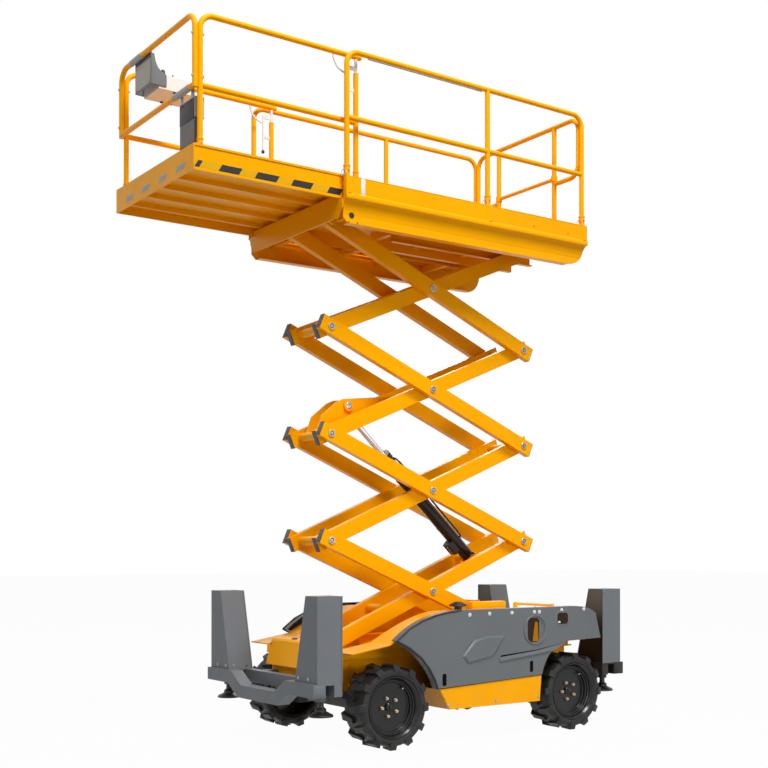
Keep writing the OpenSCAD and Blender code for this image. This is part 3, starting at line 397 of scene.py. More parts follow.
class LIFT_OT_finishes(bpy.types.Operator):
    """Makes the finishes and gives each solid its own"""

    bl_idname = "lift.finishes"
    bl_label = "Finishes"

    NODE_FINISH = {
        "yellow_paint": ("chassis_frame", "front_hood", "pod_housings", "skirts", "platform_frame", "toe_boards",
                         "guardrails", "gate", "extension_rails",
                         *(f"{kind}_arms_{level}" for kind in ("inner", "outer") for level in LEVELS)),
        "yellow_deck": ("platform_deck", "extension_deck"),
        "beam_paint": ("jack_beams",),
        "column_paint_and_shade": ("jack_columns",),
        "grey_cover": ("cover_near", "cover_far"),
        "dark_steel": ("engine_block", "axles", "knuckle_near", "knuckle_far"),
        "black_gloss": ("lift_barrel", *(f"rim_{end}_{side}" for end, side in CORNERS)),
        "black_feet": ("intake_cap", *(f"foot_{end}_{side}" for end, side in CORNERS)),
        "rubber": tuple(f"tyre_{end}_{side}" for end, side in CORNERS),
        "chrome": ("lift_rod",),
        "pale_plastic": ("lock_levers",),
        "control_box": ("control_box",),
        "document_box": ("document_box",),
    }

    def paints(self, tint):
        """Painted and bare metal, and the tyres."""
        yellow = {"base": tint.yellow, "sheen": tint.yellow}
        grey = {"base": tint.grey, "rough": 0.42, "specular": 0.2, "tone": 0.08, "tone_scale": 2.4, "dust": 0.12,
                "wear_and_highlight": 0.4}
        finish("yellow_paint", rough=0.36, specular=0.35, tone=0.07, tone_scale=1.6, dust=0.12, wear_and_highlight=0.35,
               wear_and_highlight_colour=WORN_YELLOW, **yellow)
        finish("yellow_deck", rough=0.42, specular=0.3, tone=0.1, tone_scale=2.2, bump=0.35, pattern=raised_dots,
               **yellow)
        finish("grey_paint", **grey)
        finish("beam_paint", zone=rear_ends, zone_colour=tint.bumper, **grey)
        # Grey paint with painted shade on the rear columns' faces towards the wheels
        finish("column_paint_and_shade", zone=painted_column_shade, zone_colour=tint.hollow, **grey)
        finish("dark_steel", tint.dark, 0.5, tone=0.2, tone_scale=6.0, dust=0.35, wear_and_highlight=0.3)
        finish("black_gloss", tint.black, 0.24, coat=0.2, specular=0.25, tone=0.1, dust=0.03, wear_and_highlight=0.15)
        finish("black_feet", tint.black, 0.36, tone=0.15, tone_scale=8.0, dust=0.15, wear_and_highlight=0.5)
        # The tyres' lighter lug edges are a painted highlight
        finish("rubber", tint.rubber, 0.52, specular=0.32, spread=0.1, tone=0.22, tone_scale=7.0, grain=180.0,
               bump=0.12, dust=0.08, edge=0.009, wear_and_highlight=0.9, wear_and_highlight_colour=RUBBER_EDGE_HIGHLIGHT)
        finish("chrome", tint.chrome, 0.14, spread=0.04, metallic=1.0, tone=0.04)
        plated = {"metallic": 0.9, "edge": SMALL_EDGE}
        finish("zinc", tint.zinc, 0.34, tone=0.16, tone_scale=20.0, **plated)
        finish("brass", tint.brass, 0.3, tone=0.15, tone_scale=30.0, **plated)

    def plastics(self, tint):
        """Moulded parts, tapes, and painted shade for the covers' openings, slots and ledge."""
        moulded = {"grain": 240.0, "bump": 0.08}
        smooth = {"grain": 300.0, "bump": 0.05}
        finish("grey_cover", tint.cover, 0.34, specular=0.25, tone=0.06, tone_scale=1.8, grain=260.0, bump=0.05,
               dust=0.12)
        finish("pale_plastic", tint.pale, 0.42, tone=0.04, **smooth)
        finish("grey_plastic", tint.board, 0.5, tone=0.06, **moulded)
        finish("control_box", tint.cover, 0.45, tone=0.06, zone=box_body, zone_colour=tint.pale, **smooth)
        finish("document_box", tint.worn, 0.5, tone=0.08, zone=box_lid, zone_colour=tint.board, **moulded)
        finish("worn_rubber", tint.worn, 0.6, tone=0.2, tone_scale=14.0, edge=SMALL_EDGE, **moulded)
        finish("black_plastic", tint.plastic, 0.48, tone=0.12, tone_scale=8.0, edge=SMALL_EDGE, **moulded)
        finish("red_plastic", tint.red, 0.35, coat=0.3, tone=0.05, edge=SMALL_EDGE)
        tape = {"tone_scale": 12.0, "edge": FILM_EDGE}
        finish("tape_black", tint.plastic, 0.45, tone=0.15, **tape)
        finish("tape_yellow", tint.tape, 0.4, specular=0.2, tone=0.08, **tape)
        finish("tape_grey", tint.reflector, 0.4, tone=0.1, **tape)
        inside = {"tone_scale": 14.0, "edge": FILM_EDGE}
        # Near-black for painted shade in the slots and the painted shadow over the ledge
        finish("gap_shade", tint.gap, 0.7, specular=0.05, tone=0.3, **inside)
        # Painted shade inside the covers' openings
        finish("brown_shade", tint.recess, 0.6, specular=0.1, tone=0.3, **inside)
        finish("yellow_shade", tint.latch, 0.5, specular=0.1, tone=0.2, **inside)

    def execute(self, context):
        self.paints(colours())
        self.plastics(colours())
        for key, nodes in self.NODE_FINISH.items():
            for node in nodes:
                mesh = frame["nodes"][node].data
                mesh.materials.clear()
                mesh.materials.append(FINISHES[key])
        return {"FINISHED"}


# Shapes

# How deep a fitting sits in the face that it is on
SUNK = 0.001
SMOOTH_BELOW_DEG = 35


def of_kind(items, kind):
    return [item for item in items if isinstance(item, kind)]


def cuboid(shape, low, high, turn=Matrix(), bevel=0.0):
    """A box between two corners, then turned, with rounded edges if asked."""
    low, high = Vector(low), Vector(high)
    place = turn @ Matrix.LocRotScale((low + high) / 2, None, high - low)
    corners = bmesh.ops.create_cube(shape, size=1.0, matrix=place)["verts"]
    if bevel:
        edges = list({edge for corner in corners for edge in corner.link_edges})
        bmesh.ops.bevel(shape, geom=edges, offset=bevel, offset_type="OFFSET", affect="EDGES", segments=2,
                        profile=0.5, material=-1)


def block(shape, x_span, y_span, z_span, sign=1, bevel=0.0):
    """A box from its spans along, across and up, on the side of the machine that sign gives."""
    low, high = (at(*corner) for corner in zip(x_span, sorted(sign * y for y in y_span), z_span))
    cuboid(shape, low, high, bevel=bevel)


def rod(shape, start, end, radius, tip=None, sides=20):
    """A round bar between two points, which may taper to another radius."""
    start, end = Vector(start), Vector(end)
    way = end - start
    place = Matrix.LocRotScale((start + end) / 2, way.to_track_quat("Z", "Y"), None)
    bmesh.ops.create_cone(shape, cap_ends=True, segments=sides, radius1=radius,
                          radius2=radius if tip is None else tip, depth=way.length, matrix=place)


def spun(shape, centre, axis, profile, steps=40):
    """Pairs of radius and height along an axis, spun round it."""
    axis = Vector(axis).normalized()
    side = axis.orthogonal().normalized()
    corners = [shape.verts.new(Vector(centre) + side * radius + axis * height) for radius, height in profile]
    edges = [shape.edges.new(pair) for pair in zip(corners, corners[1:])]
    bmesh.ops.spin(shape, geom=corners + edges, cent=centre, axis=axis, angle=math.tau, steps=steps,
                   use_merge=True, use_duplicate=False)


def wire_ring(shape, centre, axis, radius, wire):
    """A ring of round wire."""
    turns = [math.tau * turn / 8 for turn in range(9)]
    spun(shape, centre, axis, [(radius + wire * math.cos(turn), wire * math.sin(turn)) for turn in turns], 28)


def swept(shape, points, radius, sides=8):
    """A round bar that follows a chain of points."""
    points = [Vector(point) for point in points]
    frames = []
    for index, point in enumerate(points):
        way = points[min(index + 1, len(points) - 1)] - points[max(index - 1, 0)]
        frames.append(Matrix.LocRotScale(point, way.to_track_quat("Z", "Y"), None))
    ring = bmesh.ops.create_circle(shape, cap_ends=True, radius=radius, segments=sides, matrix=frames[0])
    loop = list({edge for corner in ring["verts"] for edge in corner.link_edges})
    for before, after in zip(frames, frames[1:]):
        made = bmesh.ops.extrude_edge_only(shape, edges=loop)["geom"]
        corners = of_kind(made, bmesh.types.BMVert)
        loop = [edge for edge in of_kind(made, bmesh.types.BMEdge) if set(corners).issuperset(edge.verts)]
        bmesh.ops.transform(shape, matrix=after @ before.inverted(), verts=corners)
    bmesh.ops.edgeloop_fill(shape, edges=loop)


def plate(shape, outline, depth):
    """A flat outline given a thickness along a direction; returns its far face."""
    face = shape.faces.new([shape.verts.new(point) for point in outline])
    made = bmesh.ops.extrude_face_region(shape, geom=[face])["geom"]
    bmesh.ops.translate(shape, vec=depth, verts=of_kind(made, bmesh.types.BMVert))
    return of_kind(made, bmesh.types.BMFace)[0]


def raised(shape, outline, out, rim, rise):
    """A thin plate with its middle raised inside a sloped rim."""
    top = plate(shape, outline, out * 0.003)
    bmesh.ops.inset_region(shape, faces=[top], thickness=rim, use_even_offset=True)
    bmesh.ops.translate(shape, vec=out * rise, verts=list(top.verts))


def bolt(shape, place, axis, radius):
    """A washer under a six-sided head."""
    place, axis = Vector(place), Vector(axis).normalized()
    washer = place + axis * radius * 0.25
    rod(shape, place, washer, radius * 1.5)
    rod(shape, washer, place + axis * radius * 0.9, radius, radius * 0.92, sides=6)


def piece(name, shape, body, key):
    """Makes an object of a shape, with a finish, that moves with a body."""
    bmesh.ops.recalc_face_normals(shape, faces=shape.faces)
    mesh = bpy.data.meshes.new(name)
    shape.to_mesh(mesh)
    shape.free()
    mesh.materials.append(FINISHES[key])
    mesh.shade_smooth()
    mesh.set_sharp_from_angle(angle=math.radians(SMOOTH_BELOW_DEG))
    made = bpy.data.objects.new(name, mesh)
    bpy.context.scene.collection.objects.link(made)
    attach(made, body)


# Fittings


class LIFT_OT_wheels(bpy.types.Operator):
    """Adds hubs, nuts, valves and stepped wells to the wheels"""

    bl_idname = "lift.wheels"
    bl_label = "Wheel fittings"

    DISC_Y = 0.804
    HUB = ((0.034, -0.001), (0.034, 0.012), (0.028, 0.018), (0.012, 0.02), (0.012, 0.03), (0.006, 0.033),
           (0.0005, 0.033))
    WELL = ((0.2205, 0.07), (0.214, 0.062), (0.211, 0.048), (0.203, 0.044), (0.200, 0.03), (0.192, 0.024),
            (0.188, 0.004), (0.18, -0.001))
    NUTS = 5
    FIRST_NUT = math.tau / 20 + 0.4
    # Heights over the disc
    SEAT, NUT, STUD, VALVE = (-SUNK, 0.003), (0.003, 0.019), (0.019, 0.03), (0.0, 0.036)
    VALVE_ANGLE, VALVE_REACH, VALVE_R = 0.9, 0.176, 0.006

    def execute(self, context):
        for end, side in CORNERS:
            self.dress(end, side)
        return {"FINISHED"}

    def dress(self, end, side):
        sized = sizes()
        body = f"wheel_{end}_{side}"
        out = outward(SIDES[side])
        along_x, _, height = JOINTS[f"{body}_spin"]["pos_m"]
        centre = Vector((along_x, SIDES[side] * self.DISC_Y, height))

        def over(angle, reach, heights):
            """Two points over a place on the wheel disc."""
            foot = centre + Vector((math.cos(angle) * reach, 0.0, math.sin(angle) * reach))
            return [foot + out * lift for lift in heights]

        hub, nuts = bmesh.new(), bmesh.new()
        spun(hub, centre, out, self.HUB)
        spun(hub, centre, out, self.WELL, 64)
        for turn in range(self.NUTS):
            angle = math.tau * turn / self.NUTS + self.FIRST_NUT
            rod(hub, *over(angle, sized.nut_circle, self.SEAT), sized.nut * 1.35)
            rod(nuts, *over(angle, sized.nut_circle, self.NUT), sized.nut, sized.nut * 0.86, sides=6)
            rod(nuts, *over(angle, sized.nut_circle, self.STUD), sized.nut * 0.5)
        rod(nuts, *over(self.VALVE_ANGLE, self.VALVE_REACH, self.VALVE), self.VALVE_R)
        piece(f"hub_{end}_{side}", hub, body, "black_gloss")
        piece(f"nuts_{end}_{side}", nuts, body, "brass")


class LIFT_OT_arms(bpy.types.Operator):
    """Adds end caps, pin rings and pipework to the scissor and its cylinder"""

    bl_idname = "lift.arms"
    bl_label = "Scissor fittings"

    # Across: both faces of each arm, and the heads of the pins
    WALLS = {"inner": (0.170, 0.230), "outer": (0.235, 0.295)}
    PIN_FACE = 0.301
    # How far an arm reaches past its pin, and half its height
    OVER, HALF_H = 0.095, 0.062
    CAP_T, PAD_T, PAD_HALF = 0.004, 0.003, (0.022, 0.04)
    RING = ((0.03, -0.001), (0.03, 0.003), (0.028, 0.005), (0.02, 0.005), (0.0185, 0.003), (0.0185, -0.001))
    RING_BOLT, HEART_R = 0.009, 0.019
    # The rod eye's boss along, across and above its arm
    EYE_LEVEL, EYE_BOSS = 3, (0.372, 0.105, 0.128)
    EYE_PIN = ((0.03, -0.001), (0.03, 0.002), (0.027, 0.004), (0.016, 0.004), (0.014, 0.001), (0.0005, 0.001))
    # The cylinder's pipe: along the barrel, above it and beside it
    PIPE = ((0.2, 0.045, 0.0), (0.24, 0.05, 0.052), (0.3, 0.053, 0.05512), (1.14, 0.053, 0.05512),
            (1.2, 0.049, 0.05096), (1.235, 0.045, 0.0))
    PIPE_R = 0.008
    BANDS = (0.42, 0.72, 1.02)
    BAND = ((0.0555, -0.012), (0.0585, -0.01), (0.0585, 0.01), (0.0555, 0.012))
    GLAND_AT, GLAND = 1.3, ((0.0625, -0.004), (0.0625, 0.004), (0.056, 0.009), (0.03, 0.009))
    FOOT_BOLTS, FOOT_BOLT_DROP = (0.175, 0.205, 0.24), 0.102
    PORT_AT, PORT_HEIGHTS = 0.2, (0.05, 0.075)

    def frame_of(self, kind, level):
        """The matrix of an arm's length, side and height, from its lower pin, and its length."""
        low, high = (Vector(JOINTS[name]["pos_m"]) for name in ("lift", "outer_2_turn"))
        rise, run = high.z - low.z, high.x - low.x
        lean = -math.atan2(rise, run) if kind == "inner" else math.atan2(rise, run) + math.pi
        foot = Vector((low.x if kind == "inner" else high.x, 0.0, low.z + rise * (level - 1)))
        turn = Matrix.Rotation(lean, 3, "Y").to_quaternion()
        return Matrix.LocRotScale(foot, turn, None), math.hypot(rise, run)

    def execute(self, context):
        for kind in self.WALLS:
            for level in LEVELS:
                self.caps(kind, level)
        for level in LEVELS:
            self.rings(level)
        self.eye_pins()
        self.cylinder()
        return {"FINISHED"}

    def caps(self, kind, level):
        """Worn pads on the square ends of a pair of arms."""
        place, arm = self.frame_of(kind, level)
        inside, outside = self.WALLS[kind]
        half_w, half_h = self.PAD_HALF
        shape = bmesh.new()
        ends = [(-self.OVER, -1)] if level > LEVELS[0] else []
        if level < LEVELS[-1]:
            ends.append((arm + self.OVER, 1))
        for face, way in ends:
            rim = face + way * self.CAP_T
            cap, pad = sorted((face, rim)), sorted((rim, rim + way * self.PAD_T))
            for sign in SIDES.values():
                near, far = sorted((sign * (inside - SUNK), sign * (outside + SUNK)))
                middle = (near + far) / 2
                cuboid(shape, (cap[0], near, -self.HALF_H - SUNK), (cap[1], far, self.HALF_H + SUNK), place, 0.0015)
                cuboid(shape, (pad[0], middle - half_w, -half_h), (pad[1], middle + half_w, half_h), place, 0.001)
        piece(f"arm_caps_{kind}_{level}", shape, f"{kind}_{level}", "worn_rubber")

    def rings(self, level):
        """Plated rings and bolts on the heads of an outer pair's pins."""
        place, arm = self.frame_of("outer", level)
        spots = [arm / 2] + [0.0] * (level > LEVELS[0]) + [arm] * (level < LEVELS[-1])
        shape, hearts = bmesh.new(), bmesh.new()
        for spot in spots:
            for sign in SIDES.values():
                face, out = place @ Vector((spot, sign * self.PIN_FACE, 0.0)), outward(sign)
                spun(shape, face, out, self.RING, 32)
                bolt(shape, face, out, self.RING_BOLT)
                rod(hearts, face - out * SUNK, face + out * SUNK, self.HEART_R)
        piece(f"pin_rings_{level}", shape, f"outer_{level}", "zinc")
        piece(f"pin_hearts_{level}", hearts, f"outer_{level}", "dark_steel")

    def eye_pins(self):
        """Ends of the rod eye's pin in the bosses of its bracket."""
        place, _ = self.frame_of("inner", self.EYE_LEVEL)
        along_arm, across, above = self.EYE_BOSS
        shape = bmesh.new()
        for sign in SIDES.values():
            spun(shape, place @ Vector((along_arm, sign * across, above)), outward(sign), self.EYE_PIN, 32)
        piece("eye_pins", shape, f"inner_{self.EYE_LEVEL}", "zinc")

    def cylinder(self):
        """Pipe, bands, port, foot bolts and gland ring of the lift cylinder."""
        foot = Vector(JOINTS["barrel_turn"]["pos_m"])
        way = Vector(JOINTS["rod_stroke"]["axis"])
        over = way.cross(outward(1)).normalized()
        over = over if over.z > 0 else -over
        beside = outward(SIDES["near"])
        pipe = bmesh.new()
        route = [foot + way * reach + over * lift + beside * out for reach, lift, out in self.PIPE]
        swept(pipe, route, self.PIPE_R)
        for reach in self.BANDS:
            spun(pipe, foot + way * reach, way, self.BAND)
        piece("lift_pipe", pipe, "lift_barrel", "black_gloss")
        ports = bmesh.new()
        spun(ports, foot + way * self.GLAND_AT, way, self.GLAND)
        for reach in self.FOOT_BOLTS:
            bolt(ports, foot + way * reach - over * self.FOOT_BOLT_DROP, -over, 0.008)
        rod(ports, *(foot + way * self.PORT_AT + over * lift for lift in self.PORT_HEIGHTS), 0.014, 0.012)
        piece("lift_ports", ports, "lift_barrel", "zinc")


class LIFT_OT_covers(bpy.types.Operator):
    """Adds seals, bolts and pressed relief to the side covers, with dark plates of painted shade for their
    openings, slots and ledge, and a pale painted glint in the hand hole
    """

    bl_idname = "lift.covers"
    bl_label = "Cover fittings"

    # Places along and up on the outer face
    FACE_Y = 0.880
    BOLTS = ((-0.201, 1.026), (0.007, 1.029), (0.251, 1.029), (0.5, 1.028), (0.557, 1.027), (0.814, 1.036),
             (1.076, 1.036))
    SEAL_TOP = ((-0.924, 0.844), (-0.80, 0.935), (-0.67, 0.993), (-0.54, 1.030), (-0.41, 1.052), (-0.29, 1.064))
    SEAL_ARCH = ((-0.924, 0.844), (-0.80, 0.782), (-0.69, 0.702), (-0.61, 0.612), (-0.55, 0.515), (-0.524, 0.447))
    SEAL_R, SEAL_SUNK = 0.009, 0.004
    PANEL = ((-0.279, 0.692), (-0.222, 0.630), (0.040, 0.672), (0.180, 0.842), (-0.016, 0.848), (-0.158, 0.816))
    PANEL_RIM, PANEL_RISE = 0.014, 0.012
    # A narrow step whose first two corners stand out, and a dark strip over it as painted shadow under the proud
    # face above
    LEDGE = ((0.112, 0.633), (0.733, 0.697), (0.864, 0.756), (0.524, 0.702), (0.127, 0.667))
    LEDGE_T, LEDGE_RISE = 0.0025, 0.0115
    LEDGE_SHADOW = ((0.127, 0.667), (0.524, 0.702), (0.864, 0.756), (0.524, 0.709), (0.131, 0.680))
    LATCH = (0.507, 0.878)
    LATCH_LIP = ((0.129, -0.004), (0.128, 0.004), (0.122, 0.009), (0.115, 0.007), (0.111, 0.001), (0.111, -0.004))
    # A strip behind the latch slot, coloured a darker yellow as painted shade
    LATCH_STRIP = ((0.478, 0.783), (0.545, 0.781), (0.534, 0.944), (0.507, 0.945))
    # Openings: low corner, high corner and cut of the corners
    LATCH_SLOT = ((0.430, 0.776), (0.553, 0.979), 0.022)
    HAND_HOLE = ((0.760, 0.917), (0.882, 1.013), 0.018)
    HOLE_FRAME = ((0.736, 0.893), (0.906, 1.037), 0.03)
    FRAME_RIM, FRAME_RISE = 0.02, 0.005
    EDGE_SLOTS = (((-0.481, 0.467), (-0.441, 0.563), 0.008), ((0.450, 0.524), (0.486, 0.618), 0.008))
    # A pale block in the hand hole as a painted glint on its catch: spans along, out of the face and up
    CATCH_GLINT = ((0.766, 0.792), (FACE_Y + 0.0065, FACE_Y + 0.0085), (0.926, 0.942))
    FILM = 0.002

    def execute(self, context):
        for side, sign in SIDES.items():
            self.dress(side, sign)
        return {"FINISHED"}

    def dress(self, side, sign):
        body, out = f"cover_{side}", outward(sign)

        def on_face(spots, lift=0.0):
            return [at(x, sign * (self.FACE_Y + lift), z) for x, z in spots]

        bolts = bmesh.new()
        for place in on_face(self.BOLTS, -0.0005):
            bolt(bolts, place, out, sizes().bolt)
        # Pale block in the hand hole: a painted glint
        block(bolts, *self.CATCH_GLINT, sign)
        piece(f"cover_bolts_{side}", bolts, body, "pale_plastic")
        seal = bmesh.new()
        for chain in (self.SEAL_TOP, self.SEAL_ARCH):
            swept(seal, on_face(chain, -self.SEAL_SUNK), self.SEAL_R, 10)
        piece(f"cover_seal_{side}", seal, body, "black_plastic")
        # Dark plates as painted shadow over the ledge and painted shade in the edge slots
        gap_shades = bmesh.new()
        for outline in (self.LEDGE_SHADOW, *(self.window(*slot) for slot in self.EDGE_SLOTS)):
            plate(gap_shades, on_face(outline, -SUNK), out * self.FILM)
        piece(f"cover_gaps_{side}", gap_shades, body, "gap_shade")
        press = bmesh.new()
        raised(press, on_face(self.PANEL, -0.0025), out, self.PANEL_RIM, self.PANEL_RISE)
        raised(press, on_face(self.window(*self.HOLE_FRAME), -0.0025), out, self.FRAME_RIM, self.FRAME_RISE)
        step = plate(press, on_face(self.LEDGE, -0.002), out * self.LEDGE_T)
        for place in on_face(self.LEDGE[:2], self.LEDGE_T - 0.002):
            corner = min(step.verts, key=lambda vert: (vert.co - place).length)
            corner.co += out * self.LEDGE_RISE
        spun(press, on_face([self.LATCH])[0], out, self.LATCH_LIP, 64)
        piece(f"cover_press_{side}", press, body, "grey_cover")
        # Brown plates over the latch slot and hand hole: painted shade of their insides
        opening_shades = bmesh.new()
        plate(opening_shades, on_face(self.window(*self.LATCH_SLOT), -SUNK), out * self.FILM)
        plate(opening_shades, on_face(self.window(*self.HAND_HOLE), 0.004), out * 0.003)
        piece(f"cover_backs_{side}", opening_shades, body, "brown_shade")
        # Darker yellow strip in the latch slot: painted shade of the yellow part behind it
        latch_shade_strip = bmesh.new()
        plate(latch_shade_strip, on_face(self.LATCH_STRIP, 0.0005), out * self.FILM)
        piece(f"cover_grip_{side}", latch_shade_strip, body, "yellow_shade")

    @staticmethod
    def window(low, high, cut):
        """A rectangle with cut corners."""
        (x0, z0), (x1, z1) = low, high
        return ((x0 + cut, z0), (x1 - cut, z0), (x1, z0 + cut), (x1, z1 - cut), (x1 - cut, z1), (x0 + cut, z1),
                (x0, z1 - cut), (x0, z0 + cut))


class LIFT_OT_jacks(bpy.types.Operator):
    """Adds bolts, lips, end plates and boots to the levelling jacks"""

    bl_idname = "lift.jacks"
    bl_label = "Jack fittings"

    # Columns: lines along the machine, half their depth, and heights of foot and top
    LINES = {"front": -1.537, "rear": 1.441}
    HALF_X = 0.106
    FOOT_Z, TOP_Z = 0.549, 1.205
    # Across: inner edge at the foot, and foot, top and lip of both edges
    FOOT_IN = 0.535
    EDGES = ((0.860, 0.860, 0.0036), (FOOT_IN, 0.690, -0.0036))
    LIP = 0.012
    BOLT_Z, BOLT_SHARE = FOOT_Z + 0.03, 0.8
    FACE_BOLTS, SIDE_BOLTS = (FOOT_IN + 0.055, FOOT_IN + 0.2), (-0.06, 0.06)
    # The beams' ends: span from the line, and inset, outer face and heights of both plates
    END_SPAN = (0.033, 0.139)
    END_IN, END_PLATES = 0.859, ((0.006, 0.8625, (0.452, 0.543)), (0.02, 0.8645, (0.466, 0.529)))
    END_FINISH = {"front": "grey_paint", "rear": "black_plastic"}
    BOOT_Y, BOOT_Z = 0.740, 0.292
    BOOT = ((0.0955, 0.002), (0.0955, 0.011), (0.088, 0.0165), (0.06, 0.032), (0.046, 0.038), (0.041, 0.048),
            (0.043, 0.056), (0.034, 0.066), (0.026, 0.07), (0.0235, 0.08))
    BOOT_BOLTS, BOOT_BOLT_R, BOOT_BOLT_Z = 4, 0.08, 0.018

    def execute(self, context):
        bolts, lips = bmesh.new(), bmesh.new()
        for end, side in CORNERS:
            self.column(bolts, lips, end, SIDES[side])
        piece("column_bolts", bolts, "chassis", "zinc")
        piece("column_lips", lips, "chassis", "grey_paint")
        for end in ENDS:
            self.beam_end(end)
        for end, side in CORNERS:
            self.boot(end, side)
        return {"FINISHED"}

    def column(self, bolts, lips, end, sign):
        """Bolts at the foot of a column, and the lips of its open back."""
        line, ahead = self.LINES[end], ENDS[end]
        size = sizes().bolt * self.BOLT_SHARE
        for y in self.FACE_BOLTS:
            bolt(bolts, at(line + ahead * self.HALF_X, sign * y, self.BOLT_Z), (ahead, 0, 0), size)
        for x in self.SIDE_BOLTS:
            bolt(bolts, at(line + x, sign * (self.FOOT_IN + 0.007), self.BOLT_Z), (0, -sign, 0), size)
        back = line - ahead * (self.HALF_X - SUNK)
        for foot, head, step in self.EDGES:
            outline = ((foot, self.FOOT_Z), (foot + step, self.FOOT_Z),
                       (head + step, self.TOP_Z), (head, self.TOP_Z))
            plate(lips, [at(back, sign * y, z) for y, z in outline], (-ahead * self.LIP, 0, 0))

    def beam_end(self, end):
        """Stepped plates on both ends of a beam."""
        shape = bmesh.new()
        low, high = sorted(self.LINES[end] + ENDS[end] * reach for reach in self.END_SPAN)
        for sign in SIDES.values():
            for inset, face, heights in self.END_PLATES:
                block(shape, (low + inset, high - inset), (self.END_IN, face), heights, sign, 0.001)
        piece(f"beam_ends_{end}", shape, "chassis", self.END_FINISH[end])

    def boot(self, end, side):
        """The swivel boot and bolts of a jack's foot."""
        shape = bmesh.new()
        centre = at(self.LINES[end], SIDES[side] * self.BOOT_Y, self.BOOT_Z)
        spun(shape, centre, UP, self.BOOT, 48)
        for turn in range(self.BOOT_BOLTS):
            angle = math.tau * (turn + 0.5) / self.BOOT_BOLTS
            reach = Vector((math.cos(angle), math.sin(angle), 0.0)) * self.BOOT_BOLT_R
            bolt(shape, centre + reach + UP * self.BOOT_BOLT_Z, UP, 0.006)
        piece(f"jack_boot_{end}_{side}", shape, f"foot_{end}_{side}", "black_feet")


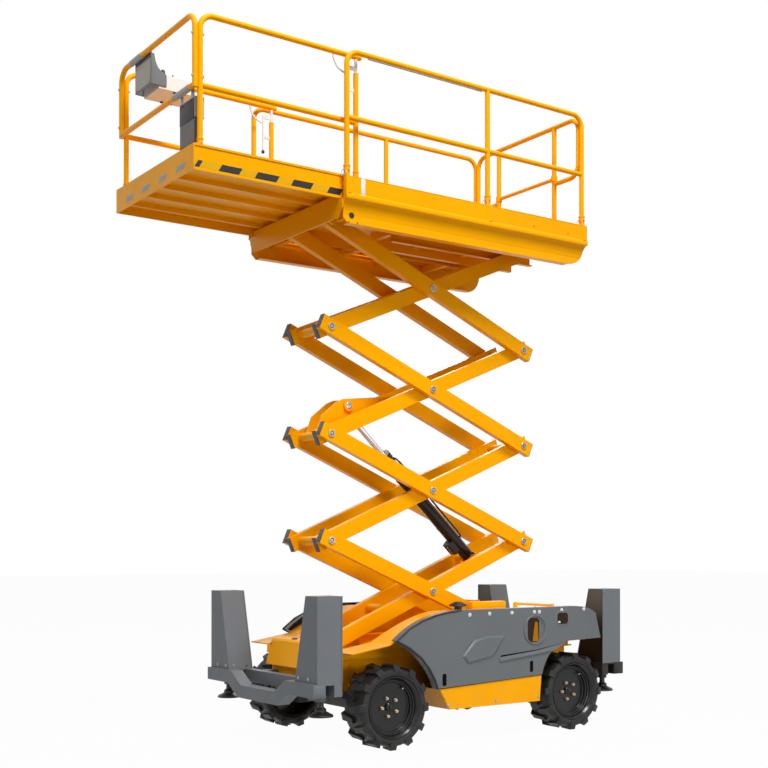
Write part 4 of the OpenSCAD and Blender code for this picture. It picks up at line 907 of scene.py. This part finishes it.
class LIFT_OT_rails(bpy.types.Operator):
    """Adds bolts, lock pins, wraps, strips and trim to the rails and boards"""

    bl_idname = "lift.rails"
    bl_label = "Rail fittings"

    # Heights of the top and middle rails, and places of their tubes
    TOP, MID = 5.399, 4.884
    HOOP_X, POST_X, EXT_Y, RAIL_Y = -2.547, -2.507, 0.661, 0.736
    TUBE_R, SLEEVE_R, EXT_SLEEVE_R = 0.021, 0.026, 0.023
    # Sleeves of the posts: along, across and top; the first three of the platform stand on the side boards
    SLEEVES = ((-1.299, RAIL_Y, 4.511), (0.108, RAIL_Y, 4.511), (1.194, RAIL_Y, 4.511), (1.194, 0.385, 4.511))
    EXT_SLEEVES = ((POST_X, EXT_Y, 4.502), (-1.166, EXT_Y, 4.502))
    PIN_DROP, PIN_OVER, PIN_R = 0.04, 0.009, 0.006
    HOOP_BOLTS, HOOP_BOLT_R = (TOP - 0.15, MID + 0.06), 0.009
    # Wrapped lengths of the hoop's tubes: span across and height, and the profile of one end
    WRAPS = (((-0.585, -0.318), MID), ((0.25, 0.47), TOP))
    WRAP_END = ((0.0205, 0.0), (0.024, 0.001), (0.0245, 0.004))
    STRIP = ((-1.1, 0.05), (0.728, 0.744), (TOP - 0.029, TOP - 0.0195))
    STRIP_PEGS, STRIP_PEG_Z = (-1.05, -0.5, 0.0), (TOP - 0.033, TOP - 0.028)
    # Side boards: length, outer face, and bolts along and up
    BOARD, BOARD_Y = (-1.327, 1.228), 0.7695
    BOARD_BOLTS = ((-1.29, 4.29), (-1.24, 4.29), (-1.29, 4.395), (0.6, 4.33), (1.0, 4.33))
    PLATES = (((-1.19, -1.15), 0.7725, (4.258, 4.418)), ((-1.185, -1.155), 0.774, (4.30, 4.38)))
    RUB_RAIL = ((BOARD_Y, 4.294), (0.775, 4.290), (0.779, 4.282), (0.780, 4.256), (0.777, 4.2485),
                (BOARD_Y, 4.2475))
    SHOE_HALF, SHOE_OUT, SHOE_Z = 0.026, 0.011, (4.29, 4.4205)
    BEAD_X, BEAD_Y, BEAD_Z, BEAD_R = (-1.325, 0.0, 1.22), 0.7665, 4.4205, 0.0055
    # Side channels under the boards
    CHANNEL_BOLTS, CHANNEL_Y, CHANNEL_BOLT_Z = (-0.9, -0.2, 0.45), 0.7275, 4.2
    COVE = ((0.7775, 4.2485), (CHANNEL_Y, 4.1185))
    TAIL, TAIL_LOW = (1.038, 1.222), 4.0728
    # Holes of the channels: place of the large one, and steps along and up from it with their radii
    HOLES_AT = (-1.25, 0.7292, 4.134)
    HOLES = ((0, 0, 0.024), (-0.045, 0.055, 0.006), (0.055, 0.06, 0.006), (0.055, -0.05, 0.006),
             (-0.03, -0.055, 0.006))
    KNOB_X, KNOB_DROP = -1.25, 0.40
    KNOB = ((0.0005, -0.012), (0.012, -0.01), (0.015, 0.0), (0.012, 0.012), (0.0075, 0.016))

    def execute(self, context):
        self.pins("platform_pins", self.SLEEVES, "platform", self.SLEEVE_R)
        self.pins("extension_pins", self.EXT_SLEEVES, "extension", self.EXT_SLEEVE_R)
        self.hoop()
        self.strip()
        self.corner_plates()
        self.board_trim()
        self.board_bolts()
        self.beads()
        self.knobs()
        return {"FINISHED"}

    def pins(self, name, spots, body, radius):
        """A lock pin through each sleeve, with its ring of wire, and a collar round the sleeve's top."""
        made, collars = bmesh.new(), bmesh.new()
        collar = ((radius, -0.012), (radius + 0.0025, -0.01), (radius + 0.0025, 0.0), (self.TUBE_R, 0.003))
        for x, y, top in spots:
            for sign in SIDES.values():
                place = at(x, sign * y, top - self.PIN_DROP)
                reach = outward(1) * (radius + self.PIN_OVER)
                rod(made, place - reach, place + reach, self.PIN_R)
                spun(collars, at(x, sign * y, top), UP, collar, 32)
                wire_ring(made, place - Vector((radius + 0.004, 0.0, 0.022)), (1, 0.25, 0), 0.026, 0.0022)
        piece(name, made, body, "zinc")
        piece(f"{name}_collars", collars, body, "yellow_paint")

    def hoop(self):
        """Bolts and wraps of the hoop at the roll-out deck's front."""
        bolts, wraps = bmesh.new(), bmesh.new()
        for sign in SIDES.values():
            for z in self.HOOP_BOLTS:
                for x, way in ((self.HOOP_X, -1), (self.POST_X, 1)):
                    place = at(x + way * (self.TUBE_R - SUNK), sign * self.EXT_Y, z)
                    bolt(bolts, place, (way, 0, 0), self.HOOP_BOLT_R)
        piece("hoop_bolts", bolts, "extension", "zinc")
        for (low, high), z in self.WRAPS:
            far_end = ((radius, high - low - reach) for radius, reach in reversed(self.WRAP_END))
            profile = (*self.WRAP_END, *far_end)
            spun(wraps, at(self.HOOP_X, low, z), outward(1), profile, 32)
        piece("rail_wraps", wraps, "extension", "grey_plastic")

    def strip(self):
        """Strip under the near top rail, with its pegs."""
        shape, near = bmesh.new(), SIDES["near"]
        block(shape, *self.STRIP, near, 0.002)
        for x in self.STRIP_PEGS:
            rod(shape, *(at(x, near * self.RAIL_Y, z) for z in self.STRIP_PEG_Z), 0.005)
        piece("rail_strip", shape, "platform", "grey_plastic")

    def corner_plates(self):
        """Pale stepped plates at the front of the side boards."""
        shape = bmesh.new()
        for sign in SIDES.values():
            for x_span, face, heights in self.PLATES:
                block(shape, x_span, (self.BOARD_Y, face), heights, sign, 0.001)
        piece("corner_plates", shape, "platform", "pale_plastic")

    def board_bolts(self):
        """Painted bolts of the side boards and channels."""
        shape = bmesh.new()
        for sign in SIDES.values():
            for x, z in self.BOARD_BOLTS:
                bolt(shape, at(x, sign * self.BOARD_Y, z), outward(sign), 0.007)
            for x in self.CHANNEL_BOLTS:
                bolt(shape, at(x, sign * self.CHANNEL_Y, self.CHANNEL_BOLT_Z), outward(sign), 0.008)
        piece("board_bolts", shape, "platform", "yellow_paint")

    def board_trim(self):
        """Rub rails along the boards, shoes of the posts on them and dark discs as painted shade in the holes of
        the side channels.
        """
        trim, holes = bmesh.new(), bmesh.new()
        turns = [math.pi * step / 8 for step in range(9)]
        arc = [(self.SHOE_HALF * math.cos(turn), self.SHOE_OUT * math.sin(turn)) for turn in turns]
        low, high = self.SHOE_Z
        for sign in SIDES.values():
            rail = [at(self.BOARD[0], sign * y, z) for y, z in self.RUB_RAIL]
            plate(trim, rail, (self.BOARD[1] - self.BOARD[0], 0, 0))
            for x, _, _ in self.SLEEVES[:3]:
                shoe = [at(x + reach, sign * (self.BOARD_Y + out), low) for reach, out in arc]
                plate(trim, shoe, UP * (high - low))
            self.cove(trim, sign)
            x, y, z = self.HOLES_AT
            for step, rise, radius in self.HOLES:
                face = at(x + step, sign * y, z + rise)
                # Black discs stand in for the holes: painted shade
                rod(holes, face - outward(sign) * 0.002, face + outward(sign) * SUNK, radius)
        piece("board_trim", trim, "platform", "yellow_paint")
        piece("channel_holes", holes, "platform", "black_plastic")

    def cove(self, shape, sign):
        """Hollow curve between a board's foot and its side channel, which ends along the channel's tail."""
        (top_y, top_z), (foot_y, foot_z) = self.COVE
        turns = [math.pi / 2 * step / 10 for step in range(11)]
        curve = [(top_y - (top_y - foot_y) * math.sin(turn), foot_z + (top_z - foot_z) * math.cos(turn))
                 for turn in turns]
        end = plate(shape, [at(self.BOARD[0], sign * y, z) for y, z in (*curve, (foot_y, top_z))], (1.0, 0, 0))
        for corner in end.verts:
            share = (corner.co.z - self.TAIL_LOW) / (top_z - self.TAIL_LOW)
            corner.co.x = at(self.TAIL[0] + (self.TAIL[1] - self.TAIL[0]) * share ** 0.3, 0, 0).x

    def beads(self):
        """Rolled top edges of the side boards."""
        shape = bmesh.new()
        for sign in SIDES.values():
            swept(shape, [at(x, sign * self.BEAD_Y, self.BEAD_Z) for x in self.BEAD_X], self.BEAD_R, 10)
        piece("board_beads", shape, "platform", "yellow_paint")

    def knobs(self):
        """Ball ends of the lock levers."""
        for side, sign in SIDES.items():
            shape = bmesh.new()
            spun(shape, at(self.KNOB_X, sign * self.EXT_Y, self.TOP - self.KNOB_DROP), UP, self.KNOB, 24)
            piece(f"lever_knob_{side}", shape, "extension", "black_plastic")


class LIFT_OT_tapes(bpy.types.Operator):
    """Adds the hazard stripes of the roll-out deck's boards"""

    bl_idname = "lift.tapes"
    bl_label = "Hazard stripes"

    # Black stripes along the sides, grey ones across the front, and how far their ends slope
    SIDE_Y, SIDE_Z, SIDE_SLOPE = 0.692, (4.284, 4.334), 0.03
    LENGTHS = ((-2.566, -2.5), (-2.375, -2.18), (-2.08, -1.868), (-1.772, -1.57), (-1.453, -1.305))
    FRONT_X, FRONT_Z, FRONT_SLOPE = -2.5765, (4.302, 4.344), 0.025
    WIDTHS = ((0.345, 0.515), (0.045, 0.21), (-0.262, -0.105), (-0.574, -0.403))
    THICK = 0.0012

    @staticmethod
    def slanted(ends, heights, low_in, high_in):
        """A stripe's corners, with its ends drawn in at the foot and at the top."""
        (low, high), (foot, top) = ends, heights
        return (low + low_in, foot), (high - high_in, foot), (high - low_in, top), (low + high_in, top)

    def execute(self, context):
        for side, sign in SIDES.items():
            out = outward(sign) * self.THICK

            def stripe(shape, ends, slope, thick):
                outline = self.slanted(ends, self.SIDE_Z, 0.0, slope)
                plate(shape, [at(x, sign * self.SIDE_Y, z) for x, z in outline], thick)

            stripes, band = bmesh.new(), bmesh.new()
            for ends in self.LENGTHS:
                stripe(stripes, ends, self.SIDE_SLOPE, out)
            piece(f"side_stripes_{side}", stripes, "extension", "tape_black")
            stripe(band, (self.LENGTHS[0][0], self.LENGTHS[-1][1]), 0.0, out / 2)
            piece(f"side_tape_{side}", band, "extension", "tape_yellow")
        stripes = bmesh.new()
        for ends in self.WIDTHS:
            outline = self.slanted(ends, self.FRONT_Z, self.FRONT_SLOPE, 0.0)
            plate(stripes, [at(self.FRONT_X, y, z) for y, z in outline], (self.THICK / 2, 0, 0))
        piece("front_stripes", stripes, "extension", "tape_grey")
        return {"FINISHED"}


class LIFT_OT_station(bpy.types.Operator):
    """Adds the stop button, joystick and switches of the control box, and the fittings of the document box"""

    bl_idname = "lift.station"
    bl_label = "Control station"

    # Back of the brackets, and the control box's underside, top and sides
    BACK_X, LOW_Z, TOP_Z, SIDES_Y = -2.526, 5.149, 5.241, (0.15, 0.43)
    STOP_AT, STICK_AT, SWITCHES_AT = (-2.416, 0.2), (-2.336, 0.34), ((-2.326, 0.18), (-2.326, 0.23))
    STOP = ((0.012, -0.001), (0.013, 0.01), (0.02, 0.014), (0.021, 0.028), (0.016, 0.034), (0.0005, 0.036))
    STICK = ((0.034, -0.001), (0.03, 0.012), (0.022, 0.03), (0.014, 0.04), (0.008, 0.046), (0.008, 0.075),
             (0.017, 0.08), (0.019, 0.1), (0.012, 0.115), (0.0005, 0.117))
    SWITCH = ((0.012, -0.001), (0.012, 0.006), (0.006, 0.008), (0.005, 0.024), (0.0005, 0.025))
    FEET_Y, FEET_X, FEET_Z = (0.17, 0.41), (-2.326, -2.226), (5.121, 5.13)
    FRONT_T, FRONT_Z = 0.0025, (LOW_Z + 0.01, LOW_Z + 0.2)
    FRONT_BOLTS_Y, FRONT_BOLTS_Z = (0.165, 0.415), (LOW_Z + 0.025, LOW_Z + 0.185)
    # Document box: latches on its face, studs and plate at its back
    LATCHES_Y, LATCHES_X, LATCHES_Z = (-0.56, -0.42), (-2.454, -2.444), (4.63, 4.70)
    STUDS_X, STUDS_Z = (BACK_X - 0.001, BACK_X - 0.006), 4.80
    BACK_PLATE = ((BACK_X - 0.003, BACK_X + 0.002), (-0.608, -0.372), (4.66, 4.81))
    HALF_W = 0.012

    def execute(self, context):
        stop = bmesh.new()
        spun(stop, at(*self.STOP_AT, self.TOP_Z), UP, self.STOP, 32)
        piece("stop_button", stop, "extension", "red_plastic")
        knobs = bmesh.new()
        spun(knobs, at(*self.STICK_AT, self.TOP_Z), UP, self.STICK, 32)
        for place in self.SWITCHES_AT:
            spun(knobs, at(*place, self.TOP_Z), UP, self.SWITCH, 20)
        for y in self.FEET_Y:
            block(knobs, self.FEET_X, (y - self.HALF_W, y + self.HALF_W), self.FEET_Z, bevel=0.003)
        piece("control_knobs", knobs, "extension", "black_plastic")
        face = bmesh.new()
        block(face, (self.BACK_X - self.FRONT_T, self.BACK_X + SUNK), self.SIDES_Y, self.FRONT_Z, bevel=0.001)
        for y in self.FRONT_BOLTS_Y:
            for z in self.FRONT_BOLTS_Z:
                bolt(face, at(self.BACK_X - self.FRONT_T, y, z), (-1, 0, 0), 0.006)
        piece("control_front", face, "extension", "grey_plastic")
        latches = bmesh.new()
        for y in self.LATCHES_Y:
            block(latches, self.LATCHES_X, (y - self.HALF_W, y + self.HALF_W), self.LATCHES_Z, bevel=0.003)
            rod(latches, *(at(x, y, self.STUDS_Z) for x in self.STUDS_X), 0.008)
        block(latches, *self.BACK_PLATE, bevel=0.0015)
        piece("document_latches", latches, "extension", "black_plastic")
        return {"FINISHED"}


class LIFT_OT_chassis(bpy.types.Operator):
    """Adds the hood's hand hole, bolts, plates and bars of the chassis"""

    bl_idname = "lift.chassis"
    bl_label = "Chassis fittings"

    # The hood's hand hole: middle, slope of the hood there, radius, half its length and half its thickness
    HOLE_AT, HOLE_SLOPE = (-1.288, 0.06, 0.8215), math.atan2(0.018, 0.051)
    HOLE_R, HOLE_HALF, HOLE_T = 0.016, 0.025, 0.002
    HOOD_BOLTS, HOOD_BOLT_Y = ((-1.375, 0.62), (-1.348, 0.77)), 0.345
    POD_BOLTS, POD_Y, POD_Z = (-0.2, 0.35, 0.8), 0.56, 1.046
    SKIRT_BOLTS, SKIRT_Y, SKIRT_Z = (-0.42, 0.08, 0.55), 0.872, 0.31
    FRAME_PLATE = ((-1.27, -1.02), (0.405, 0.412), (0.43, 0.66))
    FRAME_BOLTS = ((-1.23, 0.62), (-1.06, 0.62), (-1.23, 0.47), (-1.06, 0.47))
    # On the pods: a box, a sloping bar and the posts that carry it
    POD_BOX = ((0.09, 0.465), (0.47, POD_Y), (1.04, 1.112))
    BAR_Y, BAR, BAR_R = 0.52, ((0.604, 1.083), (0.82, 1.07), (1.05, 1.055)), 0.011
    POSTS, POST_FOOT_Z = ((0.604, 1.096), (1.04, 1.07)), 1.038
    CAP_AT = (-0.115, -0.62, 1.086)
    CAP_RIM = ((0.0755, -0.002), (0.077, 0.002), (0.0755, 0.006), (0.066, 0.014), (0.061, 0.019), (0.045, 0.026),
               (0.026, 0.035))

    def execute(self, context):
        self.hood_hole()
        bolts, plates, bars, rim = (bmesh.new() for _ in range(4))
        for sign in SIDES.values():
            out = outward(sign)
            for x, z in self.HOOD_BOLTS:
                bolt(bolts, at(x, sign * self.HOOD_BOLT_Y, z), (-1, 0, 0.2), 0.008)
            for x in self.POD_BOLTS:
                bolt(bolts, at(x, sign * self.POD_Y, self.POD_Z), UP, 0.01)
            for x in self.SKIRT_BOLTS:
                bolt(bolts, at(x, sign * self.SKIRT_Y, self.SKIRT_Z), out, 0.008)
            block(plates, *self.FRAME_PLATE, sign, 0.003)
            for x, z in self.FRAME_BOLTS:
                bolt(plates, at(x, sign * self.FRAME_PLATE[1][1], z), out, 0.009)
            block(bars, *self.POD_BOX, sign, 0.012)
            swept(bars, [at(x, sign * self.BAR_Y, z) for x, z in self.BAR], self.BAR_R, 12)
            for x, top in self.POSTS:
                rod(bars, *(at(x, sign * self.BAR_Y, z) for z in (self.POST_FOOT_Z, top)), 0.02, 0.016)
        piece("chassis_bolts", bolts, "chassis", "zinc")
        piece("frame_plates", plates, "chassis", "yellow_paint")
        piece("pod_bars", bars, "chassis", "yellow_paint")
        spun(rim, at(*self.CAP_AT), UP, self.CAP_RIM, 48)
        piece("cap_rim", rim, "chassis", "black_plastic")
        return {"FINISHED"}

    def hood_hole(self):
        """A dark slot with round ends on the hood's slope, as painted shade in the hand hole."""
        shape = bmesh.new()
        place = Matrix.Translation(at(*self.HOLE_AT)) @ Matrix.Rotation(-self.HOLE_SLOPE, 4, "Y")
        for y in (-self.HOLE_HALF, self.HOLE_HALF):
            bmesh.ops.create_cone(shape, cap_ends=True, segments=24, radius1=self.HOLE_R, radius2=self.HOLE_R,
                                  depth=2 * self.HOLE_T, matrix=place @ Matrix.Translation((0, y, 0)))
        corner = Vector((self.HOLE_R, self.HOLE_HALF, self.HOLE_T))
        cuboid(shape, -corner, corner, place)
        piece("hood_hole", shape, "chassis", "black_plastic")


# Stage


def area_light(name, place, target, size, power, spread_deg=180.0):
    """A soft square lamp that faces a point."""
    lamp = bpy.data.lights.new(name, "AREA")
    lamp.spread = math.radians(spread_deg)
    lamp.shape = "SQUARE"
    lamp.size = size
    lamp.energy = power
    holder = bpy.data.objects.new(name, lamp)
    holder.location = place
    holder.rotation_euler = (Vector(target) - Vector(place)).to_track_quat("-Z", "Y").to_euler()
    bpy.context.scene.collection.objects.link(holder)


def shown_share(tree, share):
    """The given share for rays of the eye, of metal and through glass, and none for the rays that light things."""
    path = tree.nodes.new("ShaderNodeLightPath")
    seen = reckon(tree, "MAXIMUM", path.outputs["Is Camera Ray"], path.outputs["Is Glossy Ray"])
    seen = reckon(tree, "MAXIMUM", seen, path.outputs["Is Transmission Ray"])
    return reckon(tree, "MULTIPLY", seen, share)


class LIFT_OT_stage(bpy.types.Operator):
    """Sets a pale floor, soft studio light and a camera at the photograph's view"""

    bl_idname = "lift.stage"
    bl_label = "Studio"

    IMAGE = 768
    FOCAL_PX = 1201.8
    HORIZON_PX = 544.4
    SENSOR_MM = 36.0
    EYE = (-6.370, -8.454, 1.563)
    YAW_DEG = 35.08
    PITCH_DEG = 0.2
    CLIP_M = 200.0
    FLOOR_M = 60.0
    # Share of the floor that shows white, its own grey, and the world's strength for the rays that light things
    FLOOR_WHITE, FLOOR_GREY, LIT = 0.97, 0.5, 0.28
    # Lamps: place, target, size, power in watts and spread in degrees
    AIM = (0.0, 0.0, 2.4)
    LAMPS = {
        "key_lamp": ((-1.0, -7.0, 13.0), AIM, 4.5, 1560.0),
        "side_lamp": ((2.0, -10.0, 2.0), (0.4, 0.0, 0.9), 3.0, 17.0, 44.0),
        "front_lamp": ((-10.0, -2.0, 8.0), AIM, 6.0, 210.0),
        "rim_lamp": ((7.0, 7.0, 8.0), AIM, 5.0, 300.0),
    }

    def floor(self):
        shape = bmesh.new()
        bmesh.ops.create_grid(shape, x_segments=2, y_segments=2, size=self.FLOOR_M)
        mesh = bpy.data.meshes.new("studio_floor")
        shape.to_mesh(mesh)
        shape.free()
        made = bpy.data.objects.new("studio_floor", mesh)
        bpy.context.scene.collection.objects.link(made)
        paint = bpy.data.materials.new("studio_floor")
        paint.use_nodes = True
        tree = paint.node_tree
        shader = tree.nodes["Principled BSDF"]
        shader.inputs["Roughness"].default_value = 0.9
        shader.inputs["Specular IOR Level"].default_value = 0.1
        tone = grouped(tree, "tone", Color=(self.FLOOR_GREY,) * 3 + (1.0,), Depth=0.01, Scale=0.5)
        tree.links.new(tone.outputs["Color"], shader.inputs["Base Color"])
        glow = tree.nodes.new("ShaderNodeEmission")
        share = tree.nodes.new("ShaderNodeMixShader")
        tree.links.new(shown_share(tree, self.FLOOR_WHITE), share.inputs["Fac"])
        tree.links.new(shader.outputs["BSDF"], share.inputs[1])
        tree.links.new(glow.outputs["Emission"], share.inputs[2])
        tree.links.new(share.outputs["Shader"], tree.nodes["Material Output"].inputs["Surface"])
        mesh.materials.append(paint)

    def world(self):
        scene = bpy.context.scene
        scene.world = bpy.data.worlds.new("studio")
        scene.world.use_nodes = True
        tree = scene.world.node_tree
        back = tree.nodes["Background"]
        back.inputs["Color"].default_value = WHITE
        tree.links.new(span(tree, shown_share(tree, 1.0), 0.0, 1.0, self.LIT, 1.0), back.inputs["Strength"])

    def camera(self):
        lens = bpy.data.cameras.new("photo_view")
        lens.sensor_width = self.SENSOR_MM
        lens.lens = self.FOCAL_PX / self.IMAGE * self.SENSOR_MM
        lens.shift_y = (self.HORIZON_PX - self.IMAGE / 2) / self.IMAGE
        lens.clip_end = self.CLIP_M
        eye = bpy.data.objects.new("photo_view", lens)
        eye.location = at(*self.EYE)
        eye.rotation_euler = (math.radians(90 + self.PITCH_DEG), 0.0, -math.radians(self.YAW_DEG))
        bpy.context.scene.collection.objects.link(eye)
        bpy.context.scene.camera = eye

    def execute(self, context):
        context.scene.view_settings.view_transform = "Standard"
        self.floor()
        self.world()
        self.camera()
        for name, lamp in self.LAMPS.items():
            area_light(name, *lamp)
        return {"FINISHED"}


class LIFT_PT_panel(bpy.types.Panel):
    """Lists the steps that dress the lift"""

    bl_idname = "LIFT_PT_panel"
    bl_label = "Scissor Lift"
    bl_space_type = "VIEW_3D"
    bl_region_type = "UI"
    bl_category = "Scissor Lift"

    def draw(self, context):
        for step in STEPS:
            self.layout.operator(step.bl_idname)


STEPS = (LIFT_OT_finishes, LIFT_OT_wheels, LIFT_OT_arms, LIFT_OT_covers, LIFT_OT_jacks, LIFT_OT_rails,
         LIFT_OT_tapes, LIFT_OT_station, LIFT_OT_chassis, LIFT_OT_stage)
CLASSES = (LiftColours, LiftSizes, *STEPS, LIFT_PT_panel)


def register():
    for made in CLASSES:
        bpy.utils.register_class(made)
    bpy.types.Scene.lift_colours = bpy.props.PointerProperty(type=LiftColours)
    bpy.types.Scene.lift_sizes = bpy.props.PointerProperty(type=LiftSizes)


def unregister():
    del bpy.types.Scene.lift_sizes
    del bpy.types.Scene.lift_colours
    for made in reversed(CLASSES):
        bpy.utils.unregister_class(made)


def main():
    register()
    for step in STEPS:
        family, name = step.bl_idname.split(".")
        getattr(getattr(bpy.ops, family), name)()


if __name__ == "__main__":
    main()
